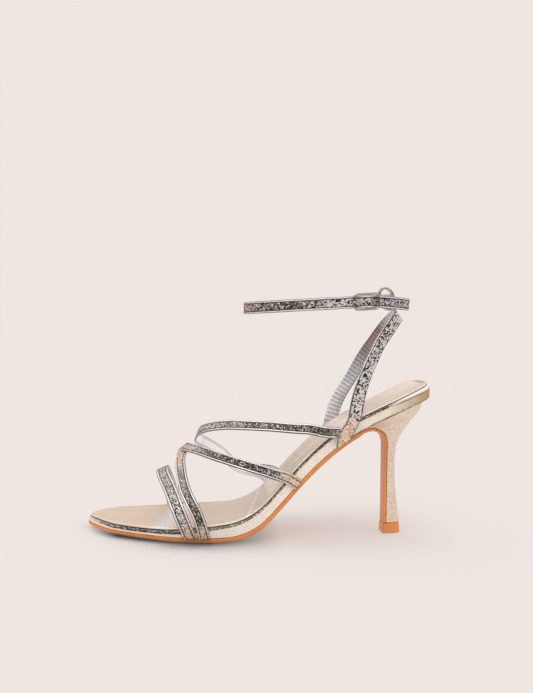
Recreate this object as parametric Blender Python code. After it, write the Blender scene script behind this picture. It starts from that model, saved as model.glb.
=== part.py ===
"""Strappy heeled sandal, a left shoe, standing on its sole.

Units are metres. The toe points along -X, the heel is at +X and +Z is up.
The buckle is on the outer side, at -Y. The origin is on the floor, under the ball.
Each sub-part is one closed solid with its own material.
"""
import bmesh
import bpy
import numpy as np
from math import cos, pi, radians, sin
from mathutils import Matrix, Vector

NAME = "strappy_heeled_sandal"

# Sole sizes
SOLE_LENGTH = 0.2075      # toe tip to the back of the foot's heel, along the floor
BALL_WIDTH = 0.0762       # across the widest part of the board
BALL_PLACE = 0.34         # share of the length from the toe to the ball
SEAT_RISE = 0.0833        # underside of the board at the back, above the ball
TOE_SPRING = 0.0022
TOE_START = 0.019         # share of the length to the tip of the board
TOE_ROUND = 0.085         # share of the length over which the toe closes
SEAT_END = 0.962          # share of the length to the back of the seat
HEEL_END = 0.959          # share of the length to the back of the heel block
SEAT_ROUND = 0.045        # share of the length over which the seat closes
SEAT_SQUARE = 3.0         # how square the seat's back corners are
SEAT_SKEW = 0.0019        # how far the buckle side's back corner lies behind the other
OUTSOLE_THICK = 0.0024
OUTSOLE_TOE = 0.0018      # outsole at the toe tip
FLAP_THICK = 0.0016       # outsole where it runs down the heel's front
BOARD_SIDE = 0.0088       # height of the wrapped board edge at the waist
RIM_ROUND = 0.0012
EDGE_INSET = 0.0003       # outsole's edge inside the board's
EDGE_ROUND = 0.0006       # rounding of the outsole's lower edge
SOCK_THICK = 0.0010
SOCK_MARGIN = 0.0016
GAP = 0.0003              # clearance between pieces that touch

# Heel sizes
STEM_WIDTH = 0.0124
STEM_LENGTH = 0.0056      # front to back, where the stem is slimmest
STEM_PLACE = 0.8575       # share of the length to the stem's front face
HEEL_MIDDLE = -0.0010     # stem's centre line, across the shoe
LIFT_HEIGHT = 0.0060
LIFT_FLARE = 0.0005
LIP_PLACE = 0.770         # share of the length to the heel's front lip under the board
HEEL_INSET = 0.0005       # heel's top edge inside the board's
LIFT_EDGE = 0.0003        # rounding of the top piece's lower edge

# Strap sizes
STRAP_WIDTH = 0.0064
TOE_STRAP_WIDTH = 0.0074
STRAP_THICK = 0.0014
SLING_WIDTH = 0.0078
ANKLE_WIDTH = 0.0070
ANKLE_THICK = 0.0015
INSTEP_HEIGHT = 0.0470    # instep strap above the insole
ANKLE_SLOPE = 0.070       # rise of the ankle strap towards the heel
ANKLE_LENGTH = 0.0850     # ankle ring, front to back
ANKLE_ACROSS = 0.0480
TAIL_LENGTH = 0.0280
TAIL_GAP = 0.0004         # between the free end and the strap under it
TAIL_SPRING = 0.0012      # how far the free end's tip stands off
TAIL_DROOP = 0.0032       # how far the free end's tip hangs down
TAIL_BEND = 0.55          # share of the ankle's curve that the free end follows
LOOP_WIDTH = 0.0070
LOOP_THICK = 0.0011

# Buckle sizes
BUCKLE_LENGTH = 0.0158
BUCKLE_HEIGHT = 0.0100
BUCKLE_WIRE = 0.0013
BUCKLE_CORNER = 0.0022
PRONG_WIRE = 0.0011
HOLE_REACH = 0.0062       # length of the prong's slot in the strap
BUCKLE_PLACE = 0.0245     # centre bar behind the ankle ring's centre

# Plan of the board: middle line and width as shares of BALL_WIDTH
PLAN_COLUMNS = ("along", "middle", "width")
PLAN_ROWS = (
    (0.00, 0.120, 0.380),
    (0.02, 0.127, 0.405),
    (0.05, 0.132, 0.495),
    (0.10, 0.121, 0.662),
    (0.20, 0.093, 0.907),
    (0.30, 0.062, 1.000),
    (0.37, 0.029, 0.965),
    (0.45, -0.005, 0.858),
    (0.55, -0.020, 0.712),
    (0.65, -0.020, 0.650),
    (0.75, -0.010, 0.647),
    (0.85, -0.005, 0.678),
    (0.92, 0.000, 0.688),
    (1.00, 0.001, 0.670),
)

# Underside of the board as shares of TOE_SPRING and SEAT_RISE, side of BOARD_SIDE
PROFILE_COLUMNS = ("along", "spring", "rise", "side")
PROFILE_ROWS = (
    (0.00, 1.00, 0.000, 0.240),
    (0.05, 0.66, 0.000, 0.280),
    (0.10, 0.40, 0.000, 0.300),
    (0.20, 0.18, 0.000, 0.330),
    (0.27, 0.00, 0.000, 0.430),
    (0.33, 0.00, 0.000, 0.580),
    (0.36, 0.00, 0.000, 0.640),
    (0.39, 0.00, 0.003, 0.710),
    (0.42, 0.00, 0.008, 0.780),
    (0.46, 0.00, 0.034, 0.880),
    (0.50, 0.00, 0.090, 0.950),
    (0.55, 0.00, 0.216, 0.980),
    (0.60, 0.00, 0.356, 1.000),
    (0.65, 0.00, 0.483, 0.960),
    (0.70, 0.00, 0.592, 0.890),
    (0.75, 0.00, 0.681, 0.830),
    (0.80, 0.00, 0.750, 0.800),
    (0.90, 0.00, 0.870, 0.840),
    (1.00, 0.00, 0.990, 0.930),
)

# Heel, from the seat down. Front and back are shares of the seat's length from
# the stem's front, heights are shares of the heel's height at its front lip, and
# half widths are shares of half the stem's width.
HEEL_COLUMNS = ("front", "front_height", "back", "back_height", "front_half", "half")
HEEL_ROWS = (
    (-0.262, 1.008, 0.345, 1.284, 3.45, 3.72),
    (-0.205, 1.016, 0.325, 1.215, 2.75, 3.15),
    (-0.138, 1.010, 0.290, 1.140, 2.00, 2.45),
    (-0.062, 0.978, 0.228, 1.065, 1.48, 1.82),
    (-0.020, 0.934, 0.166, 0.980, 1.24, 1.45),
    (0.000, 0.868, 0.116, 0.885, 1.10, 1.22),
    (0.002, 0.790, 0.095, 0.795, 1.03, 1.08),
    (0.002, 0.660, 0.087, 0.660, 0.99, 1.02),
    (0.003, 0.460, 0.095, 0.460, 0.97, 1.00),
    (0.004, 0.262, 0.117, 0.262, 0.97, 1.00),
    (0.004, 0.102, 0.138, 0.102, 0.97, 1.00),
)

# Straps. Along is a share of SOLE_LENGTH from the toe, across runs from -1 at the
# buckle side's board edge to 1 at the far one, and height is a share of
# INSTEP_HEIGHT above the insole.
STRAP_COLUMNS = ("along", "across", "height")
TOE_ROWS = (
    (0.273, -0.98, 0.28),
    (0.252, -0.72, 0.46),
    (0.232, -0.37, 0.58),
    (0.226, 0.02, 0.61),
    (0.227, 0.42, 0.56),
    (0.236, 0.78, 0.40),
    (0.247, 0.97, 0.20),
)
FRONT_ROWS = (
    (0.334, -1.03, 0.12),
    (0.310, -0.97, 0.32),
    (0.291, -0.80, 0.50),
    (0.281, -0.52, 0.66),
    (0.279, -0.28, 0.77),
    (0.294, -0.02, 0.85),
    (0.323, 0.20, 0.83),
    (0.364, 0.46, 0.73),
    (0.414, 0.78, 0.58),
    (0.478, 1.02, 0.36),
    (0.526, 1.10, 0.16),
)
CROSS_ROWS = (
    (0.280, 0.920, 0.34),
    (0.276, 0.660, 0.60),
    (0.280, 0.350, 0.78),
    (0.287, 0.100, 0.86),
    (0.298, -0.140, 0.875),
    (0.318, -0.320, 0.866),
    (0.341, -0.460, 0.844),
    (0.373, -0.630, 0.800),
    (0.419, -0.785, 0.723),
    (0.467, -0.900, 0.584),
    (0.500, -0.970, 0.450),
    (0.532, -1.023, 0.263),
    (0.560, -1.050, 0.090),
)
INSTEP_ROWS = (
    (0.690, -1.092, 0.040),
    (0.644, -1.105, 0.267),
    (0.595, -1.064, 0.493),
    (0.531, -0.950, 0.835),
    (0.466, -0.796, 1.077),
    (0.402, -0.640, 1.163),
    (0.359, -0.500, 1.151),
    (0.337, -0.382, 1.116),
    (0.326, -0.207, 1.053),
    (0.325, -0.023, 0.992),
    (0.330, 0.150, 0.940),
    (0.345, 0.290, 0.895),
    (0.395, 0.590, 0.705),
    (0.448, 0.880, 0.440),
    (0.502, 1.060, 0.225),
)
SLING_ROWS = (
    (0.738, -1.165, -0.030),
    (0.747, -1.176, 0.085),
    (0.756, -1.186, 0.277),
    (0.772, -1.121, 0.466),
    (0.797, -0.931, 0.636),
    (0.823, -0.705, 0.781),
    (0.857, -0.431, 0.899),
    (0.880, -0.190, 0.978),
    (0.887, 0.000, 0.995),
    (0.879, 0.180, 0.975),
    (0.860, 0.400, 0.910),
    (0.835, 0.660, 0.780),
    (0.804, 0.890, 0.620),
    (0.772, 1.030, 0.420),
    (0.742, 1.090, 0.270),
    (0.724, 1.080, 0.130),
)

FOOT_REACH = 0.012         # length over which a foot's end turns level with the edge
FOOT_SETTLE = 0.020        # length over which a foot turns to face out of the board's side
INSTEP_SETTLE = 0.034
SLING_SETTLE = 0.018
FOOT_DROP = 0.0002         # a foot's end below the board's lower edge

# Each foot: where the band's middle meets the board's top edge and its lower one
FOOT_COLUMNS = ("top", "bottom")
TOE_FEET = ((0.302, 0.311), (0.252, 0.257))
FRONT_FEET = ((0.341, 0.349), (0.556, 0.574))
CROSS_FEET = ((0.288, 0.296), (0.576, 0.598))
INSTEP_FEET = ((0.714, 0.722), (0.534, 0.549))
SLING_FEET = ((0.729, 0.719), (0.714, 0.706))
SLING_LIFT = (STRAP_THICK + 2 * GAP, 0.0)   # the near foot lies over the instep strap's end

# The middle of the foot inside each strap, which its bands face away from:
# share of SOLE_LENGTH from the toe, share of BALL_WIDTH across, and share of
# INSTEP_HEIGHT above the floor
TOE_HEART = (0.273, 0.04, 0.26)
VAMP_HEART = (0.394, 0.05, 0.47)
FRONT_HEART = (0.350, 0.05, 0.40)
INSTEP_HEART = (0.480, 0.12, 0.80)
SLING_HEART = (0.765, 0.00, 2.34)

# Back loop: offsets from the sling's top in its own plane, as shares of LOOP_RISE
LOOP_RISE = 0.0155
LOOP_STEP = 0.0022
LOOP_ROWS = (
    (-0.16, 0.19),
    (-0.19, 0.61),
    (-0.29, 0.87),
    (-0.55, 1.00),
    (-0.72, 0.84),
    (-0.73, 0.55),
    (-0.58, 0.28),
    (-0.35, 0.19),
)

STATIONS = 46             # cross-sections from toe to seat
BAND_STEP = 0.0042        # length of one facet along a strap
FAIR_STEP = 0.0020        # spacing at which a strap's line is evened out


def as_columns(columns, rows):
    """Turn rows with named columns into one array for each name."""
    return dict(zip(columns, np.array(rows, dtype=float).T))


def read_table(table, column, at, key="along"):
    """Read a table as a smooth curve: a cubic through its rows."""
    keys = table[key]
    values = table[column]
    slopes = np.gradient(values, keys)
    at = np.clip(np.asarray(at, dtype=float), keys[0], keys[-1])
    i = np.clip(np.searchsorted(keys, at, side="right") - 1, 0, len(keys) - 2)
    step = keys[i + 1] - keys[i]
    u = (at - keys[i]) / step
    start = values[i] * (1 + 2 * u) * (1 - u) ** 2 + slopes[i] * step * u * (1 - u) ** 2
    end = values[i + 1] * u * u * (3 - 2 * u) + slopes[i + 1] * step * u * u * (u - 1)
    return start + end


PLAN = as_columns(PLAN_COLUMNS, PLAN_ROWS)
PROFILE = as_columns(PROFILE_COLUMNS, PROFILE_ROWS)
HEEL = as_columns(HEEL_COLUMNS, HEEL_ROWS)


def place(along):
    """X of a share of the sole's length."""
    return (np.asarray(along, dtype=float) - BALL_PLACE) * SOLE_LENGTH


def middle(along):
    """Y of the board's middle line."""
    return read_table(PLAN, "middle", along) * BALL_WIDTH


def half_width(along):
    """Half the board's width, closed round at the toe and at the seat."""
    along = np.asarray(along, dtype=float)
    toe = np.clip(1 - (along - TOE_START) / TOE_ROUND, 0, 1)
    seat = np.clip(1 - (SEAT_END - along) / SEAT_ROUND, 0, 1)
    closing = np.sqrt(1 - toe ** 2) * (1 - seat ** SEAT_SQUARE) ** (1 / SEAT_SQUARE)
    return read_table(PLAN, "width", along) * BALL_WIDTH / 2 * closing


def seat_skew(along, y):
    """X shift that turns the back edge of the seat a little."""
    weight = np.clip((along - 0.88) / (SEAT_END - 0.88), 0, 1)
    return -SEAT_SKEW * y / (BALL_WIDTH / 3) * weight


def board_low(along):
    """Z of the board's underside."""
    spring = read_table(PROFILE, "spring", along) * TOE_SPRING
    rise = read_table(PROFILE, "rise", along) * SEAT_RISE
    return OUTSOLE_THICK + GAP + np.maximum(spring, 0) + np.maximum(rise, 0)


def board_top(along):
    """Z of the insole board's top face."""
    return board_low(along) + read_table(PROFILE, "side", along) * BOARD_SIDE


def slope(along, surface=board_low):
    """Slope angle of a sole surface, rising towards the heel."""
    step = 0.002
    rise = surface(along + step) - surface(along - step)
    return np.arctan2(rise, 2 * step * SOLE_LENGTH)


def stations(first=TOE_START, last=SEAT_END, count=STATIONS):
    """Shares of the length, packed closer at the round toe and seat."""
    angle = np.linspace(0.02, pi - 0.02, count)
    share = (1 - np.cos(angle)) / 2
    even = np.linspace(0, 1, count)
    mixed = 0.5 * share + 0.5 * even
    mixed[:4] = share[:4]
    mixed[-4:] = share[-4:]
    return first + (last - first) * np.sort(mixed)


def outline(inset, shares):
    """Closed outline of the sole, moved inwards: buckle side to the heel, then back."""
    x = place(shares)
    edges = []
    for side in (-1, 1):
        y = middle(shares) + side * half_width(shares)
        dx = np.gradient(x)
        dy = np.gradient(y)
        length = np.hypot(dx, dy)
        edge_x = x + side * inset * dy / length
        edge_y = y - side * inset * dx / length
        edges.append(np.stack([edge_x + seat_skew(shares, edge_y), edge_y], 1))
    return np.vstack([edges[0], edges[1][::-1]])


def share_of(x):
    """Share of the sole's length at an X."""
    return x / SOLE_LENGTH + BALL_PLACE


def side_normal(along, side):
    """Outward direction of the board's side, in plan."""
    step = 0.004
    before = middle(along - step) + side * half_width(along - step)
    after = middle(along + step) + side * half_width(along + step)
    turn = (after - before) / (2 * step * SOLE_LENGTH)
    length = np.hypot(1, turn)
    return -side * turn / length, side / length


def material(name, color, roughness, metallic):
    """A plain Principled material."""
    made = bpy.data.materials.new(name)
    made.use_nodes = True
    shader = made.node_tree.nodes["Principled BSDF"]
    shader.inputs["Base Color"].default_value = (*color, 1.0)
    shader.inputs["Roughness"].default_value = roughness
    shader.inputs["Metallic"].default_value = metallic
    return made


def add_object(name, points, faces, collection, finish=None):
    """One closed mesh object, with its faces turned outwards."""
    mesh = bpy.data.meshes.new(name)
    mesh.from_pydata([tuple(map(float, p)) for p in points], [], faces)
    work = bmesh.new()
    work.from_mesh(mesh)
    bmesh.ops.recalc_face_normals(work, faces=work.faces)
    work.to_mesh(mesh)
    work.free()
    if finish:
        mesh.materials.append(finish)
    made = bpy.data.objects.new(name, mesh)
    collection.objects.link(made)
    return made


def loft_faces(rings, count, closed=False):
    """Quads between neighbouring rings of points."""
    faces = []
    last = rings if closed else rings - 1
    for r in range(last):
        low = r * count
        high = ((r + 1) % rings) * count
        for i in range(count):
            j = (i + 1) % count
            faces.append((low + i, low + j, high + j, high + i))
    return faces


def strip_cap(start, count):
    """Close a ring whose two halves run side by side."""
    half = count // 2
    faces = []
    for i in range(half - 1):
        faces.append((start + i, start + i + 1, start + count - 2 - i, start + count - 1 - i))
    return faces


def layered(name, layers, collection, finish):
    """Stack of outlines, each an inset and a height function, capped at both ends."""
    shares = stations()
    rings = []
    for inset, height in layers:
        flat = outline(inset, shares)
        rings.append(np.column_stack([flat, height(share_of(flat[:, 0]))]))
    count = len(rings[0])
    faces = loft_faces(len(rings), count)
    faces += strip_cap(0, count)
    faces += strip_cap((len(rings) - 1) * count, count)
    return add_object(name, np.vstack(rings), faces, collection, finish)


def build_board(collection, finish):
    """Stiff board with a wrapped, rounded edge."""
    layers = (
        (RIM_ROUND, board_top),
        (0.3 * RIM_ROUND, lambda s: board_top(s) - 0.3 * RIM_ROUND),
        (0.0, lambda s: board_top(s) - np.minimum(RIM_ROUND, 0.5 * (board_top(s) - board_low(s)))),
        (0.0, lambda s: board_low(s) + 0.25 * RIM_ROUND),
        (0.25 * RIM_ROUND, board_low),
    )
    return layered("insole_board", layers, collection, finish)


def build_sock(collection, finish):
    """Insole cover on the board's top face, a little inside its rim."""
    low = SOCK_MARGIN
    layers = (
        (low + 0.5 * SOCK_THICK, lambda s: board_top(s) + GAP + SOCK_THICK),
        (low, lambda s: board_top(s) + GAP + 0.5 * SOCK_THICK),
        (low, lambda s: board_top(s) + GAP),
    )
    return layered("sock", layers, collection, finish)


def heel_front():
    """Front profile of the heel block, from its lip under the waist to its foot."""
    x = place(STEM_PLACE + HEEL["front"] * (1 - STEM_PLACE) * 2.1)
    z = HEEL["front_height"] * heel_lip()
    return x, z


def heel_lip():
    """Height of the heel's front lip above the floor."""
    return float(board_low(LIP_PLACE)) - GAP


def heel_rings():
    """Rings of the heel block, from the seat down to its foot."""
    turn = np.linspace(-pi / 2, pi / 2, 25)
    back = np.cos(turn) ** 0.9
    back[0] = 0.0
    back[-1] = 0.0
    side = np.sign(turn) * np.abs(np.sin(turn)) ** 0.9
    front_cut = np.linspace(1, -1, 6)[1:-1]
    rings = []
    seat = LIP_PLACE + (HEEL_END - LIP_PLACE) * back
    y = middle(seat) + np.sign(side) * np.maximum(half_width(seat) - HEEL_INSET, 0) * np.abs(side) ** 0.2
    cut_y = middle(LIP_PLACE) + front_cut * (half_width(LIP_PLACE) - HEEL_INSET)
    cut = np.column_stack([np.full(4, place(LIP_PLACE)), cut_y, np.full(4, heel_lip())])
    seat_x = place(seat) + seat_skew(seat, y)
    seat_z = board_low(share_of(seat_x)) - GAP
    rings.append(np.vstack([np.column_stack([seat_x, y, seat_z]), cut]))
    front_x, front_z = heel_front()
    back_x = place(STEM_PLACE + HEEL["back"] * (1 - STEM_PLACE) * 2.1)
    back_z = HEEL["back_height"] * heel_lip()
    for k in range(len(front_x)):
        widest = HEEL["half"][k] * STEM_WIDTH / 2
        narrow = HEEL["front_half"][k] * STEM_WIDTH / 2
        x = front_x[k] + (back_x[k] - front_x[k]) * back
        z = front_z[k] + (back_z[k] - front_z[k]) * back
        y = HEEL_MIDDLE + side * (widest - (widest - narrow) * (1 - back) ** 2)
        cut_y = HEEL_MIDDLE + front_cut * narrow
        cut = np.column_stack([np.full(4, front_x[k]), cut_y, np.full(4, front_z[k])])
        rings.append(np.vstack([np.column_stack([x, y, z]), cut]))
    return rings


def build_heel(collection, finish):
    """Slim heel: the seat's outline drawn in to a narrow stem."""
    rings = heel_rings()
    count = len(rings[0])
    faces = loft_faces(len(rings), count)
    faces.append(tuple(range(count)))
    faces.append(tuple(range((len(rings) - 1) * count, len(rings) * count)))
    return add_object("heel", np.vstack(rings), faces, collection, finish)


def build_top_piece(collection, finish):
    """The lift under the heel, a little wider at the floor."""
    foot = heel_rings()[-1]
    flat = foot[:, :2]
    centre = flat.mean(axis=0)
    reach = FLAP_THICK + GAP
    rings = []
    for grow, z in ((0.0, LIFT_HEIGHT), (LIFT_FLARE, 2 * LIFT_EDGE), (LIFT_FLARE - LIFT_EDGE, 0.0)):
        ring = flat + np.sign(flat - centre) * grow
        front = flat[:, 0] <= flat[:, 0].min() + 0.1 * GAP
        ring[front, 0] -= reach
        rings.append(np.column_stack([ring, np.full(len(ring), z)]))
    count = len(foot)
    faces = loft_faces(3, count)
    faces.append(tuple(range(count)))
    faces.append(tuple(range(2 * count, 3 * count)))
    return add_object("top_piece", np.vstack(rings), faces, collection, finish)


def outsole_thick(along):
    """Thickness of the outsole, thinned towards the toe tip."""
    full = np.clip((along - TOE_START) / (0.27 - TOE_START), 0, 1)
    return OUTSOLE_TOE + (OUTSOLE_THICK - OUTSOLE_TOE) * full


def build_outsole(collection, finish):
    """Thin sole from the toe to the waist, carried on down the heel's front."""
    rings = []
    for share in stations():
        if share > LIP_PLACE - 0.012:
            break
        tilt = float(slope(share))
        half = max(float(half_width(share)) - EDGE_INSET, EDGE_INSET)
        low = Vector((sin(tilt), 0, -cos(tilt)))
        top = Vector((float(place(share)), 0, float(board_low(share)) - GAP))
        thick = float(outsole_thick(share))
        rings.append((top, low, thick, float(middle(share)) - half, float(middle(share)) + half))
    front_x, front_z = heel_front()
    path = [Vector((x, 0, z)) for x, z in zip(front_x, front_z)]
    for k, point in enumerate(path):
        before = path[k - 1] if k else rings[-1][0]
        after = path[k + 1] if k + 1 < len(path) else point + (point - before)
        along = (after - before).normalized()
        out = Vector((along.z, 0, -along.x))
        half = HEEL["front_half"][k] * STEM_WIDTH / 2
        half = min(half, float(half_width(LIP_PLACE)) - EDGE_INSET)
        rings.append((point + out * GAP, out, FLAP_THICK, HEEL_MIDDLE - half, HEEL_MIDDLE + half))
    points = []
    for top, out, thick, near, far in rings:
        low = top + out * thick
        mid = top + out * (0.7 * thick)
        cut = min(EDGE_ROUND, 0.3 * (far - near))
        floor = max(low.z, 0.0) if top.x < place(0.5) else low.z
        points += [(top.x, near, top.z), (top.x, far, top.z), (mid.x, far, mid.z)]
        points += [(low.x, far - cut, floor), (low.x, near + cut, floor), (mid.x, near, mid.z)]
    faces = loft_faces(len(rings), 6)
    faces.append(tuple(range(6)))
    faces.append(tuple(range(len(points) - 6, len(points))))
    return add_object("outsole", points, faces, collection, finish)


def even_line(points, step):
    """Evenly spaced points along a smooth curve through the given ones."""
    chord = np.linalg.norm(np.diff(points, axis=0), axis=1)
    key = np.concatenate([[0], np.cumsum(np.sqrt(chord))])
    columns = dict(key=key, x=points[:, 0], y=points[:, 1], z=points[:, 2])
    fine = np.linspace(0, key[-1], 60 * len(points))
    curve = np.stack([read_table(columns, axis, fine, "key") for axis in "xyz"], 1)
    run = np.concatenate([[0], np.cumsum(np.linalg.norm(np.diff(curve, axis=0), axis=1))])
    count = max(int(round(run[-1] / step)), 4)
    even = np.linspace(0, run[-1], count + 1)
    return np.stack([np.interp(even, run, curve[:, i]) for i in range(3)], 1), even


def faired(line, rounds=110, keep=0.08):
    """Take waves shorter than a few centimetres out of a line and keep its long bends."""
    shrink = 0.5
    grow = 1 / (1 / shrink - keep)
    for _ in range(rounds):
        for factor in (shrink, -grow):
            pull = 0.5 * (line[:-2] + line[2:]) - line[1:-1]
            line[1:-1] += factor * pull
    return line


def smooth_line(points, step):
    """Even points along a fair curve near the given ones, through its two ends."""
    line, run = even_line(np.array(points, dtype=float), FAIR_STEP)
    return even_line(faired(line), step)


def unit(vectors):
    """Vectors scaled to length one."""
    return vectors / np.linalg.norm(vectors, axis=-1, keepdims=True)


def band_rings(points, outward, across, width, thick):
    """Rounded flat sections along a band: eight points each."""
    cut = 0.35 * thick
    half = width / 2
    deep = thick / 2
    corners = (
        (half - cut, deep), (half, deep - cut), (half, cut - deep), (half - cut, -deep),
        (cut - half, -deep), (-half, cut - deep), (-half, deep - cut), (cut - half, deep),
    )
    rings = [points + across * a + outward * b for a, b in corners]
    return np.stack(rings, 1)


def band_object(name, rings, collection, finish=None, closed=False):
    """One band as a closed solid."""
    count = rings.shape[1]
    faces = loft_faces(len(rings), count, closed)
    if not closed:
        faces.append(tuple(range(count)))
        faces.append(tuple(range((len(rings) - 1) * count, len(rings) * count)))
    return add_object(name, rings.reshape(-1, 3), faces, collection, finish)


def foot_points(side, foot, lift):
    """A strap's foot on the board's side: at the top edge and at the lower one."""
    top, low = foot
    reach = GAP + STRAP_THICK / 2 + lift
    ends = []
    high = float(board_top(top)) - 0.4 * RIM_ROUND
    for share, z in ((top, high), (low, float(board_low(low)) - FOOT_DROP)):
        out_x, out_y = side_normal(share, side)
        y = float(middle(share)) + side * float(half_width(share))
        ends.append((float(place(share)) + out_x * reach, y + out_y * reach, z))
    return ends


def strap_points(rows, feet, lift=(0.0, 0.0)):
    """Middle line of a strap, from the buckle side's foot over to the far one."""
    table = as_columns(STRAP_COLUMNS, rows)
    x = place(table["along"])
    y = middle(table["along"]) + table["across"] * half_width(table["along"])
    z = board_top(table["along"]) + table["height"] * INSTEP_HEIGHT
    line = list(zip(x, y, z))
    if line[0][1] > line[-1][1]:
        line.reverse()
    near = list(reversed(foot_points(-1, feet[0], lift[0])))
    return near + line + foot_points(1, feet[1], lift[1])


def strap(rows, feet, heart, width, lift=(0.0, 0.0), raise_by=0.0, settle=FOOT_SETTLE):
    """Rings of a strap that lies on the foot's form and wraps the board's side.

    The band faces away from the heart of the foot. Near each foot it turns to
    face straight out of the board's side, with its end parallel to the edge.
    """
    points, run = smooth_line(strap_points(rows, feet, lift), BAND_STEP)
    ahead = unit(np.gradient(points, axis=0))
    centre = np.array((float(place(heart[0])), heart[1] * BALL_WIDTH, heart[2] * INSTEP_HEIGHT))
    away = points - centre
    away = unit(away - np.sum(away * ahead, 1, keepdims=True) * ahead)
    share = share_of(points[:, 0])
    for side, from_foot in ((-1, run), (1, run[-1] - run)):
        near_foot = np.clip(1 - from_foot / settle, 0, 1)
        weight = (near_foot * near_foot * (3 - 2 * near_foot))[:, None]
        out_x, out_y = side_normal(share, side)
        away = away * (1 - weight) + np.stack([out_x, out_y, np.zeros_like(out_x)], 1) * weight
    away = unit(away - np.sum(away * ahead, 1, keepdims=True) * ahead)
    across = unit(np.cross(away, ahead))
    tilt = slope(share, board_low)
    for side, from_foot in ((-1, run), (1, run[-1] - run)):
        out_x, out_y = side_normal(share, side)
        edge = unit(np.stack([out_y * side, -out_x * side, np.tan(tilt) * np.abs(out_y)], 1))
        edge = edge * np.sign(np.sum(edge * across, 1, keepdims=True))
        weight = np.clip(1 - from_foot / FOOT_REACH, 0, 1)[:, None]
        mixed = unit(across * (1 - weight) + edge * weight)
        stretch = np.clip(np.sum(mixed * across, 1, keepdims=True), 0.5, 1)
        across = np.where(weight > 0, mixed / stretch, across)
    points = points + away * raise_by
    return band_rings(points, away, across, width, STRAP_THICK)


def join(base, others):
    """Unite band solids into one."""
    for other in others:
        cut = base.modifiers.new("join", "BOOLEAN")
        cut.operation = "UNION"
        cut.solver = "EXACT"
        cut.object = other
    return base


def hide_guide(guide):
    """Mark an object as a cutter or a guide."""
    guide.hide_render = True
    guide.display_type = "WIRE"


def build_straps(collection, guides, finish):
    """Toe strap, and the vamp and instep bands joined where they cross."""
    toe = strap(TOE_ROWS, TOE_FEET, TOE_HEART, TOE_STRAP_WIDTH)
    band_object("toe_strap", toe, collection, finish)
    front = strap(FRONT_ROWS, FRONT_FEET, FRONT_HEART, STRAP_WIDTH)
    base = band_object("cross_straps", front, collection, finish)
    over = strap(CROSS_ROWS, (CROSS_FEET[1], CROSS_FEET[0]), VAMP_HEART, STRAP_WIDTH,
                 raise_by=0.4 * STRAP_THICK)
    over = band_object("cross_band_guide", over, guides)
    instep = strap(INSTEP_ROWS, INSTEP_FEET, INSTEP_HEART, STRAP_WIDTH, settle=INSTEP_SETTLE)
    instep = band_object("instep_band_guide", instep, guides)
    for guide in (over, instep):
        hide_guide(guide)
    join(base, (over, instep))


def ankle_seat():
    """Centre of the ankle ring and its height there, held by the sling's back loop."""
    top = sling_top()
    back = top.x - 0.33 * LOOP_RISE
    level = top.z + 0.53 * LOOP_RISE
    return back - ANKLE_LENGTH / 2, level - ANKLE_SLOPE * ANKLE_LENGTH / 2


def sling_top():
    """Middle of the sling where it turns round the back of the ankle."""
    line, run = smooth_line(strap_points(SLING_ROWS, SLING_FEET, SLING_LIFT), FAIR_STEP)
    return Vector(line[int(np.argmax(line[:, 0]))])


def build_sling(collection, guides, finish):
    """Sling round the back of the ankle, with the loop that holds the ankle strap."""
    rings = strap(SLING_ROWS, SLING_FEET, SLING_HEART, SLING_WIDTH, lift=SLING_LIFT, settle=SLING_SETTLE)
    base = band_object("sling_strap", rings, collection, finish)
    top = sling_top()
    line = [(top.x + a * LOOP_RISE, top.y, top.z + b * LOOP_RISE) for a, b in LOOP_ROWS]
    line.append(line[0])
    points, run = even_line(np.array(line), LOOP_STEP)
    points = points[:-1]
    ahead = unit(np.roll(points, -1, axis=0) - np.roll(points, 1, axis=0))
    across = np.tile(np.array((0.0, 1.0, 0.0)), (len(points), 1))
    outward = np.cross(across, ahead)
    loop = band_object("loop_guide", band_rings(points, outward, across, LOOP_WIDTH, LOOP_THICK),
                       guides, closed=True)
    hide_guide(loop)
    join(base, (loop,))


def eased(at, key, height):
    """Heights joined by smooth steps that are level at every key."""
    i = np.clip(np.searchsorted(key, at, side="right") - 1, 0, len(key) - 2)
    u = np.clip((at - key[i]) / (key[i + 1] - key[i]), 0, 1)
    return height[i] + (height[i + 1] - height[i]) * u * u * (3 - 2 * u)


def ankle_ring():
    """Even points round the ankle, from the back over the far side to the front."""
    turn = np.linspace(0, 2 * pi, 721)
    power = 2 / 2.5
    x = np.sign(np.cos(turn)) * np.abs(np.cos(turn)) ** power * ANKLE_LENGTH / 2
    y = np.sign(np.sin(turn)) * np.abs(np.sin(turn)) ** power * ANKLE_ACROSS / 2
    return x + ankle_seat()[0], y


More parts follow.
